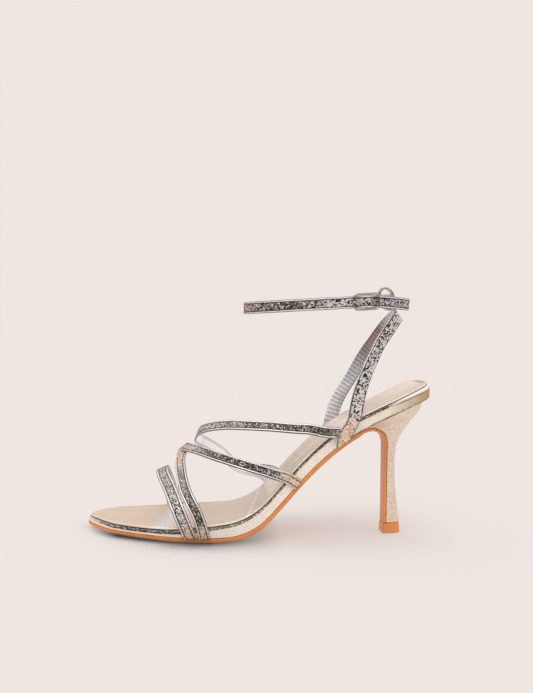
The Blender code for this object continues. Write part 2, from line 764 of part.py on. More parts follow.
def build_ankle(collection, guides, finish):
    """Ankle strap: from the buckle's centre bar round the ankle, then through the
    buckle to its free end."""
    x, y = ankle_ring()
    centre, level = ankle_seat()
    start = int(np.argmin(np.where(y < 0, np.abs(x - centre - BUCKLE_PLACE), 9)))
    ring = np.stack([x[:-1], y[:-1]], 1)
    ring = np.roll(ring, -start, axis=0)
    ring = np.vstack([ring, ring[:1]])
    run = np.concatenate([[0], np.cumsum(np.linalg.norm(np.diff(ring, axis=0), axis=1))])
    total = run[-1]
    tangent = unit(ring[1] - ring[0])
    side = np.array((tangent[1], -tangent[0]))
    bar = BUCKLE_LENGTH / 2 - BUCKLE_WIRE / 2
    layer = ANKLE_THICK + TAIL_GAP
    clear = ANKLE_THICK / 2 + GAP + BUCKLE_WIRE / 2
    frame_left = clear
    frame_right = layer + clear
    frame_mid = (frame_left + frame_right) / 2
    flat_part = BUCKLE_WIRE
    shallow = 0.5 * BUCKLE_HEIGHT
    key = np.array((BUCKLE_WIRE, shallow + BUCKLE_WIRE, total - bar + flat_part,
                    total - flat_part, total + flat_part, total + bar - flat_part,
                    total + bar + flat_part, total + TAIL_LENGTH))
    height = np.array((frame_mid - clear, 0.0, 0.0, frame_mid + clear, frame_mid + clear,
                       layer, layer, layer + TAIL_SPRING))
    at = np.concatenate([
        np.linspace(key[0], 2 * shallow, 6), np.linspace(2 * shallow, total - bar - shallow, 54)[1:],
        np.linspace(total - bar - shallow, total + bar + shallow, 20)[1:],
        np.linspace(total + bar + shallow, total + TAIL_LENGTH, 6)[1:],
    ])
    offset = eased(at, key, height)
    past = np.maximum(at - total, 0)
    wrapped = np.minimum(at, total) + past * TAIL_BEND
    px = np.interp(wrapped % total, run, ring[:, 0])
    py = np.interp(wrapped % total, run, ring[:, 1])
    fx = px + tangent[0] * past * (1 - TAIL_BEND)
    fy = py + tangent[1] * past * (1 - TAIL_BEND)
    flat = np.stack([fx, fy], 1)
    ahead = unit(np.gradient(flat, axis=0))
    out = np.stack([ahead[:, 1], -ahead[:, 0]], 1)
    out = unit(out)
    flat = flat + out * offset[:, None]
    rise = ANKLE_SLOPE * (flat[:, 0] - centre)
    droop = np.where(at > total, TAIL_DROOP * (past / TAIL_LENGTH) ** 1.5, 0.0)
    z = level + rise - droop
    points = np.column_stack([flat, z])
    ahead = unit(np.gradient(points, axis=0))
    outward = np.column_stack([out, np.zeros(len(out))])
    across = unit(np.cross(outward, ahead))
    outward = unit(np.cross(ahead, across))
    rings = band_rings(points, outward, across, ANKLE_WIDTH, ANKLE_THICK)
    base = band_object("ankle_strap", rings, collection, finish)
    bar_x = ring[0][0]
    bar_z = level + ANKLE_SLOPE * (bar_x - centre)
    origin = Vector((bar_x + side[0] * frame_mid, ring[0][1] + side[1] * frame_mid, bar_z))
    lean = (frame_right - frame_left) / (2 * bar)
    along = Vector((tangent[0] + side[0] * lean, tangent[1] + side[1] * lean, ANKLE_SLOPE)).normalized()
    out = Vector((side[0], side[1], 0))
    out = (out - along * out.dot(along)).normalized()
    up = out.cross(along).normalized()
    if up.z < 0:
        up = -up
    return base, origin, along, up, out


def buckle_matrix(origin, along, up, out):
    """Place of the buckle: X along the strap, Y up, Z out of the ankle."""
    return Matrix((
        (along.x, up.x, out.x, origin.x), (along.y, up.y, out.y, origin.y),
        (along.z, up.z, out.z, origin.z), (0, 0, 0, 1),
    ))


def wire_mesh(name, points, radius, closed, matrix, collection, finish):
    """A round wire along points, as a mesh object."""
    curve = bpy.data.curves.new(name + "_path", "CURVE")
    curve.dimensions = "3D"
    curve.bevel_depth = radius
    curve.bevel_resolution = 2
    curve.use_fill_caps = not closed
    line = curve.splines.new("POLY")
    line.points.add(len(points) - 1)
    for place_in, point in zip(line.points, points):
        place_in.co = (*point, 1)
    line.use_cyclic_u = closed
    holder = bpy.data.objects.new(name + "_path", curve)
    collection.objects.link(holder)
    bpy.context.view_layer.update()
    graph = bpy.context.evaluated_depsgraph_get()
    mesh = bpy.data.meshes.new_from_object(holder.evaluated_get(graph))
    work = bmesh.new()
    work.from_mesh(mesh)
    bmesh.ops.remove_doubles(work, verts=work.verts, dist=0.00001)
    bmesh.ops.recalc_face_normals(work, faces=work.faces)
    work.to_mesh(mesh)
    work.free()
    mesh.name = name
    mesh.materials.clear()
    if finish:
        mesh.materials.append(finish)
    made = bpy.data.objects.new(name, mesh)
    made.matrix_world = matrix
    collection.objects.link(made)
    bpy.data.objects.remove(holder)
    return made


def build_buckle(frame_at, collection, guides, finish):
    """Rounded frame with a centre bar, and the prong that rests on its end bar."""
    matrix = buckle_matrix(*frame_at)
    wire = BUCKLE_WIRE / 2
    reach = BUCKLE_LENGTH / 2 - wire
    tall = BUCKLE_HEIGHT / 2 - wire
    loop = []
    for corner in range(4):
        sx = (1, -1, -1, 1)[corner]
        sy = (1, 1, -1, -1)[corner]
        for step in range(5):
            angle = (corner + step / 4) * pi / 2
            loop.append((sx * (reach - BUCKLE_CORNER) + BUCKLE_CORNER * cos(angle),
                         sy * (tall - BUCKLE_CORNER) + BUCKLE_CORNER * sin(angle), 0))
    frame = wire_mesh("buckle_frame", loop, wire, True, matrix, collection, finish)
    post = wire_mesh("centre_bar_guide", [(0, -tall, 0), (0, tall, 0)], 0.92 * wire, False, matrix,
                     guides, None)
    hide_guide(post)
    join(frame, (post,))
    thin = PRONG_WIRE / 2
    rest = wire + GAP + thin
    path = [(-wire - GAP, 0, 0.1 * wire), (-0.31 * reach, 0, 0.45 * rest), (-0.58 * reach, 0, 0.93 * rest),
            (-reach, 0, rest), (-reach - 2 * wire, 0, rest - GAP)]
    prong = wire_mesh("buckle_prong", path, thin, False, matrix, collection, finish)
    return prong, matrix, path


def cut_prong_hole(base, matrix, path, guides):
    """The strap's hole, which the prong passes through."""
    start = Vector(path[0])
    end = Vector(path[3])
    ahead = (end - start).normalized()
    line = [start + ahead * 0.5 * GAP, Vector(path[1]), Vector(path[2]), start + ahead * HOLE_REACH]
    hole = wire_mesh("prong_hole", [tuple(p) for p in line], PRONG_WIRE / 2 + GAP + 0.2 * GAP, False,
                     matrix, guides, None)
    hide_guide(hole)
    cut = base.modifiers.new("prong_hole", "BOOLEAN")
    cut.operation = "DIFFERENCE"
    cut.solver = "EXACT"
    cut.object = hole


def main():
    for old in list(bpy.data.objects):
        bpy.data.objects.remove(old, do_unlink=True)
    shoe = bpy.data.collections.new(NAME)
    guides = bpy.data.collections.new(NAME + "_cutters")
    bpy.context.scene.collection.children.link(shoe)
    bpy.context.scene.collection.children.link(guides)
    tan = material("tan_sole", (0.54, 0.22, 0.08), 0.45, 0.0)
    foil = material("pale_gold_foil", (0.80, 0.66, 0.52), 0.35, 0.6)
    pewter = material("silver_foil", (0.45, 0.42, 0.40), 0.30, 0.9)
    smooth = material("insole_pearl", (0.70, 0.55, 0.46), 0.40, 0.3)
    metal = material("buckle_nickel", (0.62, 0.58, 0.54), 0.20, 1.0)
    build_outsole(shoe, tan)
    build_board(shoe, foil)
    build_sock(shoe, smooth)
    build_heel(shoe, foil)
    build_top_piece(shoe, tan)
    build_straps(shoe, guides, pewter)
    build_sling(shoe, guides, pewter)
    strap_solid, *frame_at = build_ankle(shoe, guides, pewter)
    prong, matrix, path = build_buckle(frame_at, shoe, guides, metal)
    cut_prong_hole(strap_solid, matrix, path, guides)


main()
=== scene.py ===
"""Looks of the strappy heeled sandal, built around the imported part.

Units are metres, in the part's own frame: toe along -X, buckle side at -Y, up +Z.
"""
from math import cos, pi, radians, sin

import bmesh
import bpy
import numpy as np
from mathutils import Matrix, Vector

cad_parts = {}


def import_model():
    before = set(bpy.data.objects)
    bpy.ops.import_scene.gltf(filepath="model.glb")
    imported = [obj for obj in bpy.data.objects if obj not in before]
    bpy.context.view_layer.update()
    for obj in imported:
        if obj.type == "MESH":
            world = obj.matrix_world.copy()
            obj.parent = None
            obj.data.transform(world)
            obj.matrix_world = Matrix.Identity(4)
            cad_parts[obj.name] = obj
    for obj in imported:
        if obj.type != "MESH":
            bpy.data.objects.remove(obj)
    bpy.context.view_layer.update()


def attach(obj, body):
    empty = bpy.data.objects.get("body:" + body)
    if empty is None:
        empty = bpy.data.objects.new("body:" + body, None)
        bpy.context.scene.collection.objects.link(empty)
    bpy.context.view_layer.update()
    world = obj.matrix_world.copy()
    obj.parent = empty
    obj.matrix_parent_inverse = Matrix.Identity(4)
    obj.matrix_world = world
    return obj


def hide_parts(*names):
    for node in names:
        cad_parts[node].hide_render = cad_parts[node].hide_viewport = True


# Viewpoint
CAMERA_TURN = 3.0694      # degrees from straight across the shoe
CAMERA_YAW = 0.3024
CAMERA_TILT = 1.709
CAMERA_ROLL = 0.8959
CAMERA_AWAY = 0.584203
CAMERA_HEIGHT = 0.125546
CAMERA_CENTRE = 0.0332
CAMERA_LENS = 51.96

# Light and floor
BACKDROP = (0.863, 0.791, 0.753)
FLOOR_COLOR = (0.851, 0.810, 0.793)
FLOOR_GLOW = 0.6          # share of the floor's brightness that shadows leave
SKY = 1.06
KEY = 0.42
SKY_STOPS = ((0.0, (0.86, 0.82, 0.79)), (0.3, (0.84, 0.80, 0.77)), (1.0, (0.88, 0.85, 0.83)))
GLOW_STOPS = ((0.0, (0.16, 0.14, 0.13)), (0.2, (0.30, 0.27, 0.25)), (0.36, (0.95, 0.91, 0.88)),
              (1.0, (1.0, 0.97, 0.95)))
# painted contact shadow: how dark the floor's colour and glow are made for each occlusion value
CONTACT_SHADOW_STOPS = ((0.45, (0.10,) * 3), (0.62, (0.20,) * 3), (0.76, (0.36,) * 3), (0.87, (0.75,) * 3),
                (0.93, (1.0,) * 3))

# Finished forms
RIM_DROP = 0.0006         # how far the board's top lies under its rim
RIM_LOW = 0.9             # how far down the rim's rounding goes, as a share of RIM_ROUND
RIM_INSIDE = (0.0034, 0.0022)   # rings of the board's skin inside the rim, from its edge
RIM_UNDER = (0.0004, 0.0040)
FACE_INSETS = (0.0030, 0.0038)  # edges of the board's top and underside, from its edge
SEAT_DISH = 0.0015
DISH_START = 0.78         # share of the length where the dish starts
DISH_BLEND = 0.12         # share of the length over which it deepens
OUTSOLE_SOFT = 0.0005
SOCK_PROFILE = ((0.0, -0.9), (0.0, -0.45), (0.0002, -0.15), (0.0006, 0.0))   # inset, drop
EDGE_RIB = 0.00095        # width of a strap's raised edge
RIB_SWELL = 0.00012
GROOVE_WIDTH = 0.00022
GROOVE_DEPTH = 0.00022
FINE = 0.0008             # spacing of points along a band
TIGHT_STEP = 0.0006       # the same where a band turns tightly
MERGE_WITHIN = 0.000002   # points closer than this become one

# Sole sizes
SOLE_LENGTH = 0.2075      # toe tip to the back of the foot's heel, along the floor
BALL_WIDTH = 0.0762       # across the widest part of the board
BALL_PLACE = 0.34         # share of the length from the toe to the ball
SEAT_RISE = 0.0833        # underside of the board at the back, above the ball
TOE_SPRING = 0.0022
TOE_START = 0.019         # share of the length to the tip of the board
TOE_ROUND = 0.085         # share of the length over which the toe closes
SEAT_END = 0.962          # share of the length to the back of the seat
HEEL_END = 0.959          # share of the length to the back of the heel block
SEAT_ROUND = 0.045        # share of the length over which the seat closes
SEAT_SQUARE = 3.0         # how square the seat's back corners are
SEAT_SKEW = 0.0019        # how far the buckle side's back corner lies behind the other
SKEW_START = 0.88         # share of the length where that turn starts
OUTSOLE_THICK = 0.0024
OUTSOLE_TOE = 0.0018      # outsole at the toe tip
OUTSOLE_FULL = 0.27       # share of the length where it has its full thickness
FLAP_THICK = 0.0016       # outsole where it runs down the heel's front
BOARD_SIDE = 0.0088       # height of the wrapped board edge at the waist
RIM_ROUND = 0.0012
EDGE_INSET = 0.0003       # outsole's edge inside the board's
SOCK_THICK = 0.0010
SOCK_MARGIN = 0.0016
GAP = 0.0003              # clearance between pieces that touch

# Heel sizes
STEM_WIDTH = 0.0124
STEM_PLACE = 0.8575       # share of the length to the stem's front face
HEEL_MIDDLE = -0.0010     # stem's centre line, across the shoe
LIFT_HEIGHT = 0.0060
LIFT_FLARE = 0.0005
LIP_PLACE = 0.770         # share of the length to the heel's front lip under the board
HEEL_INSET = 0.0005       # heel's top edge inside the board's
HEEL_SPAN = 2.1           # the seat's length over the length behind the stem's front
HEEL_SQUARE = 0.9         # how round the heel's back is
LIFT_PROFILE = ((0.0, LIFT_HEIGHT - 0.0002), (0.0001, LIFT_HEIGHT - 0.0004), (0.8, 0.0009),
                (1.0, 0.0005), (0.8, 0.0001), (0.5, 0.0))   # share of LIFT_FLARE, height

# Strap sizes
STRAP_WIDTH = 0.0064
TOE_STRAP_WIDTH = 0.0074
STRAP_THICK = 0.0014
SLING_WIDTH = 0.0078
ANKLE_WIDTH = 0.0070
ANKLE_THICK = 0.0015
INSTEP_HEIGHT = 0.0470    # instep strap above the insole
ANKLE_SLOPE = 0.070       # rise of the ankle strap towards the heel
ANKLE_LENGTH = 0.0850     # ankle ring, front to back
ANKLE_ACROSS = 0.0480
ANKLE_SQUARE = 2.5        # how square the ankle ring is: 2 is an ellipse
TAIL_LENGTH = 0.0280
TAIL_GAP = 0.0004         # between the free end and the strap under it
TAIL_SPRING = 0.0012      # how far the free end's tip stands off
TAIL_DROOP = 0.0032       # how far the free end's tip hangs down
TAIL_BEND = 0.55          # share of the ankle's curve that the free end follows
LOOP_WIDTH = 0.0070
LOOP_THICK = 0.0011

# Buckle sizes
BUCKLE_LENGTH = 0.0158
BUCKLE_HEIGHT = 0.0100
BUCKLE_WIRE = 0.0013
BUCKLE_CORNER = 0.0022
PRONG_WIRE = 0.0011
BUCKLE_PLACE = 0.0245     # centre bar behind the ankle ring's centre

# Plan of the board: middle line and width as shares of BALL_WIDTH
PLAN_COLUMNS = ("along", "middle", "width")
PLAN_ROWS = (
    (0.00, 0.120, 0.380),
    (0.02, 0.127, 0.405),
    (0.05, 0.132, 0.495),
    (0.10, 0.121, 0.662),
    (0.20, 0.093, 0.907),
    (0.30, 0.062, 1.000),
    (0.37, 0.029, 0.965),
    (0.45, -0.005, 0.858),
    (0.55, -0.020, 0.712),
    (0.65, -0.020, 0.650),
    (0.75, -0.010, 0.647),
    (0.85, -0.005, 0.678),
    (0.92, 0.000, 0.688),
    (1.00, 0.001, 0.670),
)

# Underside of the board as shares of TOE_SPRING and SEAT_RISE, side of BOARD_SIDE
PROFILE_COLUMNS = ("along", "spring", "rise", "side")
PROFILE_ROWS = (
    (0.00, 1.00, 0.000, 0.240),
    (0.05, 0.66, 0.000, 0.280),
    (0.10, 0.40, 0.000, 0.300),
    (0.20, 0.18, 0.000, 0.330),
    (0.27, 0.00, 0.000, 0.430),
    (0.33, 0.00, 0.000, 0.580),
    (0.36, 0.00, 0.000, 0.640),
    (0.39, 0.00, 0.003, 0.710),
    (0.42, 0.00, 0.008, 0.780),
    (0.46, 0.00, 0.034, 0.880),
    (0.50, 0.00, 0.090, 0.950),
    (0.55, 0.00, 0.216, 0.980),
    (0.60, 0.00, 0.356, 1.000),
    (0.65, 0.00, 0.483, 0.960),
    (0.70, 0.00, 0.592, 0.890),
    (0.75, 0.00, 0.681, 0.830),
    (0.80, 0.00, 0.750, 0.800),
    (0.90, 0.00, 0.870, 0.840),
    (1.00, 0.00, 0.990, 0.930),
)

# Heel, from the seat down. Front and back are shares of the seat's length from
# the stem's front, heights are shares of the heel's height at its front lip, and
# half widths are shares of half the stem's width.
HEEL_COLUMNS = ("front", "front_height", "back", "back_height", "front_half", "half")
HEEL_ROWS = (
    (-0.262, 1.008, 0.345, 1.284, 3.45, 3.72),
    (-0.205, 1.016, 0.325, 1.215, 2.75, 3.15),
    (-0.138, 1.010, 0.290, 1.140, 2.00, 2.45),
    (-0.062, 0.978, 0.228, 1.065, 1.48, 1.82),
    (-0.020, 0.934, 0.166, 0.980, 1.24, 1.45),
    (0.000, 0.868, 0.116, 0.885, 1.10, 1.22),
    (0.002, 0.790, 0.095, 0.795, 1.03, 1.08),
    (0.002, 0.660, 0.087, 0.660, 0.99, 1.02),
    (0.003, 0.460, 0.095, 0.460, 0.97, 1.00),
    (0.004, 0.262, 0.117, 0.262, 0.97, 1.00),
    (0.004, 0.102, 0.138, 0.102, 0.97, 1.00),
)

# Straps. Along is a share of SOLE_LENGTH from the toe, across runs from -1 at the
# buckle side's board edge to 1 at the far one, and height is a share of
# INSTEP_HEIGHT above the insole.
STRAP_COLUMNS = ("along", "across", "height")
TOE_ROWS = (
    (0.273, -0.98, 0.28),
    (0.252, -0.72, 0.46),
    (0.232, -0.37, 0.58),
    (0.226, 0.02, 0.61),
    (0.227, 0.42, 0.56),
    (0.236, 0.78, 0.40),
    (0.247, 0.97, 0.20),
)
FRONT_ROWS = (
    (0.334, -1.03, 0.12),
    (0.310, -0.97, 0.32),
    (0.291, -0.80, 0.50),
    (0.281, -0.52, 0.66),
    (0.279, -0.28, 0.77),
    (0.294, -0.02, 0.85),
    (0.323, 0.20, 0.83),
    (0.364, 0.46, 0.73),
    (0.414, 0.78, 0.58),
    (0.478, 1.02, 0.36),
    (0.526, 1.10, 0.16),
)
CROSS_ROWS = (
    (0.280, 0.920, 0.34),
    (0.276, 0.660, 0.60),
    (0.280, 0.350, 0.78),
    (0.287, 0.100, 0.86),
    (0.298, -0.140, 0.875),
    (0.318, -0.320, 0.866),
    (0.341, -0.460, 0.844),
    (0.373, -0.630, 0.800),
    (0.419, -0.785, 0.723),
    (0.467, -0.900, 0.584),
    (0.500, -0.970, 0.450),
    (0.532, -1.023, 0.263),
    (0.560, -1.050, 0.090),
)
INSTEP_ROWS = (
    (0.690, -1.092, 0.040),
    (0.644, -1.105, 0.267),
    (0.595, -1.064, 0.493),
    (0.531, -0.950, 0.835),
    (0.466, -0.796, 1.077),
    (0.402, -0.640, 1.163),
    (0.359, -0.500, 1.151),
    (0.337, -0.382, 1.116),
    (0.326, -0.207, 1.053),
    (0.325, -0.023, 0.992),
    (0.330, 0.150, 0.940),
    (0.345, 0.290, 0.895),
    (0.395, 0.590, 0.705),
    (0.448, 0.880, 0.440),
    (0.502, 1.060, 0.225),
)
SLING_ROWS = (
    (0.738, -1.165, -0.030),
    (0.747, -1.176, 0.085),
    (0.756, -1.186, 0.277),
    (0.772, -1.121, 0.466),
    (0.797, -0.931, 0.636),
    (0.823, -0.705, 0.781),
    (0.857, -0.431, 0.899),
    (0.880, -0.190, 0.978),
    (0.887, 0.000, 0.995),
    (0.879, 0.180, 0.975),
    (0.860, 0.400, 0.910),
    (0.835, 0.660, 0.780),
    (0.804, 0.890, 0.620),
    (0.772, 1.030, 0.420),
    (0.742, 1.090, 0.270),
    (0.724, 1.080, 0.130),
)

FOOT_REACH = 0.012         # length over which a foot's end turns level with the edge
FOOT_SETTLE = 0.020        # length over which a foot turns to face out of the board's side
INSTEP_SETTLE = 0.034
SLING_SETTLE = 0.018
FOOT_DROP = 0.0002         # a foot's end below the board's lower edge

# Each foot: where the band's middle meets the board's top edge and its lower one
TOE_FEET = ((0.302, 0.311), (0.252, 0.257))
FRONT_FEET = ((0.341, 0.349), (0.556, 0.574))
CROSS_FEET = ((0.288, 0.296), (0.576, 0.598))
INSTEP_FEET = ((0.714, 0.722), (0.534, 0.549))
SLING_FEET = ((0.729, 0.719), (0.714, 0.706))
SLING_LIFT = (STRAP_THICK + 2 * GAP, 0.0)   # the near foot lies over the instep strap's end

# The middle of the foot inside each strap, which its bands face away from:
# share of SOLE_LENGTH from the toe, share of BALL_WIDTH across, and share of
# INSTEP_HEIGHT above the floor
TOE_HEART = (0.273, 0.04, 0.26)
VAMP_HEART = (0.394, 0.05, 0.47)
FRONT_HEART = (0.350, 0.05, 0.40)
INSTEP_HEART = (0.480, 0.12, 0.80)
SLING_HEART = (0.765, 0.00, 2.34)

# Back loop: offsets from the sling's top in its own plane, as shares of LOOP_RISE
LOOP_RISE = 0.0155
LOOP_HOLD = (0.33, 0.53)  # the ankle strap's middle in the loop, forward and up
LOOP_ROWS = (
    (-0.16, 0.19),
    (-0.19, 0.61),
    (-0.29, 0.87),
    (-0.55, 1.00),
    (-0.72, 0.84),
    (-0.73, 0.55),
    (-0.58, 0.28),
    (-0.35, 0.19),
)

FAIR_STEP = 0.0020        # spacing at which a strap's line is evened out


def as_columns(columns, rows):
    """Turn rows with named columns into one array for each name."""
    return dict(zip(columns, np.array(rows, dtype=float).T))


def smooth(u):
    """A step from 0 to 1 that starts and ends level."""
    return u * u * (3 - 2 * u)


def cubic(keys, values, at):
    """A smooth curve through values, or rows of values, at their keys."""
    slopes = np.gradient(values, keys, axis=0)
    i = np.clip(np.searchsorted(keys, at, side="right") - 1, 0, len(keys) - 2)
    step = keys[i + 1] - keys[i]
    u = (at - keys[i]) / step
    if values.ndim > 1:
        shape = (-1,) + (1,) * (values.ndim - 1)
        step = step.reshape(shape)
        u = u.reshape(shape)
    start = values[i] * (1 + 2 * u) * (1 - u) ** 2 + slopes[i] * step * u * (1 - u) ** 2
    end = values[i + 1] * u * u * (3 - 2 * u) + slopes[i + 1] * step * u * u * (u - 1)
    return start + end


def read_table(table, column, at, key="along"):
    """Read a table as a smooth curve through its rows."""
    keys = table[key]
    return cubic(keys, table[column], np.clip(np.asarray(at, dtype=float), keys[0], keys[-1]))


PLAN = as_columns(PLAN_COLUMNS, PLAN_ROWS)
PROFILE = as_columns(PROFILE_COLUMNS, PROFILE_ROWS)
HEEL = as_columns(HEEL_COLUMNS, HEEL_ROWS)


def place(along):
    """X of a share of the sole's length."""
    return (np.asarray(along, dtype=float) - BALL_PLACE) * SOLE_LENGTH


def middle(along):
    """Y of the board's middle line."""
    return read_table(PLAN, "middle", along) * BALL_WIDTH


def half_width(along):
    """Half the board's width, closed round at the toe and at the seat."""
    along = np.asarray(along, dtype=float)
    toe = np.clip(1 - (along - TOE_START) / TOE_ROUND, 0, 1)
    seat = np.clip(1 - (SEAT_END - along) / SEAT_ROUND, 0, 1)
    closing = np.sqrt(1 - toe ** 2) * (1 - seat ** SEAT_SQUARE) ** (1 / SEAT_SQUARE)
    return read_table(PLAN, "width", along) * BALL_WIDTH / 2 * closing


def seat_skew(along, y):
    """X shift that turns the back edge of the seat a little."""
    weight = np.clip((along - SKEW_START) / (SEAT_END - SKEW_START), 0, 1)
    return -SEAT_SKEW * y / (BALL_WIDTH / 3) * weight


def board_low(along):
    """Z of the board's underside."""
    spring = read_table(PROFILE, "spring", along) * TOE_SPRING
    rise = read_table(PROFILE, "rise", along) * SEAT_RISE
    return OUTSOLE_THICK + GAP + np.maximum(spring, 0) + np.maximum(rise, 0)


def board_top(along):
    """Z of the insole board's top face."""
    return board_low(along) + read_table(PROFILE, "side", along) * BOARD_SIDE


def slope(along):
    """Slope angle of the board's underside, rising towards the heel."""
    step = 0.002
    rise = board_low(along + step) - board_low(along - step)
    return np.arctan2(rise, 2 * step * SOLE_LENGTH)


def share_of(x):
    """Share of the sole's length at an X."""
    return x / SOLE_LENGTH + BALL_PLACE


def side_normal(along, side):
    """Outward direction of the board's side, in plan."""
    step = 0.004
    before = middle(along - step) + side * half_width(along - step)
    after = middle(along + step) + side * half_width(along + step)
    turn = (after - before) / (2 * step * SOLE_LENGTH)
    length = np.hypot(1, turn)
    return -side * turn / length, side / length


def unit(vectors):
    """Vectors scaled to length one."""
    return vectors / np.linalg.norm(vectors, axis=-1, keepdims=True)


def heel_lip():
    """Height of the heel's front lip above the floor."""
    return float(board_low(LIP_PLACE)) - GAP


def heel_front():
    """Front profile of the heel block, from its lip under the waist to its foot."""
    x = place(STEM_PLACE + HEEL["front"] * (1 - STEM_PLACE) * HEEL_SPAN)
    return x, HEEL["front_height"] * heel_lip()


def eased(at, key, height):
    """Heights joined by smooth steps that are level at every key."""
    i = np.clip(np.searchsorted(key, at, side="right") - 1, 0, len(key) - 2)
    u = np.clip((at - key[i]) / (key[i + 1] - key[i]), 0, 1)
    return height[i] + (height[i + 1] - height[i]) * u * u * (3 - 2 * u)


def foot_points(side, foot, lift):
    """A strap's foot on the board's side: at the top edge and at the lower one."""
    top, low = foot
    reach = GAP + STRAP_THICK / 2 + lift
    ends = []
    high = float(board_top(top)) - 0.4 * RIM_ROUND
    for share, z in ((top, high), (low, float(board_low(low)) - FOOT_DROP)):
        out_x, out_y = side_normal(share, side)
        y = float(middle(share)) + side * float(half_width(share))
        ends.append((float(place(share)) + out_x * reach, y + out_y * reach, z))
    return ends


def strap_points(rows, feet, lift=(0.0, 0.0)):
    """Middle line of a strap, from the buckle side's foot over to the far one."""
    table = as_columns(STRAP_COLUMNS, rows)
    x = place(table["along"])
    y = middle(table["along"]) + table["across"] * half_width(table["along"])
    z = board_top(table["along"]) + table["height"] * INSTEP_HEIGHT
    line = list(zip(x, y, z))
    if line[0][1] > line[-1][1]:
        line.reverse()
    near = list(reversed(foot_points(-1, feet[0], lift[0])))
    return near + line + foot_points(1, feet[1], lift[1])


def outsole_thick(along):
    """Thickness of the outsole, thinned towards the toe tip."""
    full = np.clip((along - TOE_START) / (OUTSOLE_FULL - TOE_START), 0, 1)
    return OUTSOLE_TOE + (OUTSOLE_THICK - OUTSOLE_TOE) * full


def run_along(line):
    """Length run along a line at each of its points."""
    return np.concatenate([[0], np.cumsum(np.linalg.norm(np.diff(line, axis=0), axis=1))])


def even_line(points, step):
    """Evenly spaced points along a smooth curve through the given ones."""
    chord = np.linalg.norm(np.diff(points, axis=0), axis=1)
    key = np.concatenate([[0], np.cumsum(np.sqrt(chord))])
    curve = cubic(key, points, np.linspace(0, key[-1], 60 * len(points)))
    run = run_along(curve)
    count = max(int(round(run[-1] / step)), 4)
    even = np.linspace(0, run[-1], count + 1)
    return np.stack([np.interp(even, run, curve[:, i]) for i in range(3)], 1), even


def faired(line, rounds=110, keep=0.08):
    """Take waves shorter than a few centimetres out of a line and keep its long bends."""
    shrink = 0.5
    grow = 1 / (1 / shrink - keep)
    for _ in range(rounds):
        for factor in (shrink, -grow):
            pull = 0.5 * (line[:-2] + line[2:]) - line[1:-1]
            line[1:-1] += factor * pull
    return line


def smooth_line(points, step):
    """Even points along a fair curve near the given ones, through its two ends."""
    line = even_line(np.array(points, dtype=float), FAIR_STEP)[0]
    return even_line(faired(line), step)


def sling_top():
    """Middle of the sling where it turns round the back of the ankle."""
    line = smooth_line(strap_points(SLING_ROWS, SLING_FEET, SLING_LIFT), FAIR_STEP)[0]
    return Vector(line[int(np.argmax(line[:, 0]))])


def ankle_seat():
    """Centre of the ankle ring and its height there, held by the sling's back loop."""
    top = sling_top()
    back = top.x - LOOP_HOLD[0] * LOOP_RISE
    level = top.z + LOOP_HOLD[1] * LOOP_RISE
    return back - ANKLE_LENGTH / 2, level - ANKLE_SLOPE * ANKLE_LENGTH / 2


def ankle_ring():
    """Points round the ankle, from the back over the far side to the front."""
    turn = np.linspace(0, 2 * pi, 721)
    power = 2 / ANKLE_SQUARE
    x = np.sign(np.cos(turn)) * np.abs(np.cos(turn)) ** power * ANKLE_LENGTH / 2
    y = np.sign(np.sin(turn)) * np.abs(np.sin(turn)) ** power * ANKLE_ACROSS / 2
    return x + ankle_seat()[0], y


def axes_matrix(x, y, z, origin):
    """Place of something that has the given axes and origin."""
    made = Matrix((x, y, z)).transposed().to_4x4()
    made.translation = origin
    return made


def shares_fine(count=260):
    """Shares of the length for fine outlines, packed closer at both round ends."""
    angle = np.linspace(0.004, pi - 0.004, count)
    share = 0.7 * (1 - np.cos(angle)) / 2 + 0.3 * np.linspace(0, 1, count)
    return TOE_START + share * (SEAT_END - TOE_START)


def outline(inset, shares):
    """Closed outline moved inwards: buckle side to the heel, then back to the toe."""
    x = place(shares)
    edges = []
    for side in (-1, 1):
        y = middle(shares) + side * half_width(shares)
        dx = np.gradient(x)
        dy = np.gradient(y)
        length = np.hypot(dx, dy)
        edge_x = x + side * inset * dy / length
        edge_y = y - side * inset * dx / length
        edges.append(np.stack([edge_x + seat_skew(shares, edge_y), edge_y], 1))
    return np.vstack([edges[0], edges[1][::-1]])


def dish(along, across):
    """How far the heel seat sinks: most in the middle, level at the rim."""
    deep = smooth(np.clip((along - DISH_START) / DISH_BLEND, 0, 1))
    return SEAT_DISH * deep * (1 - across ** 2)


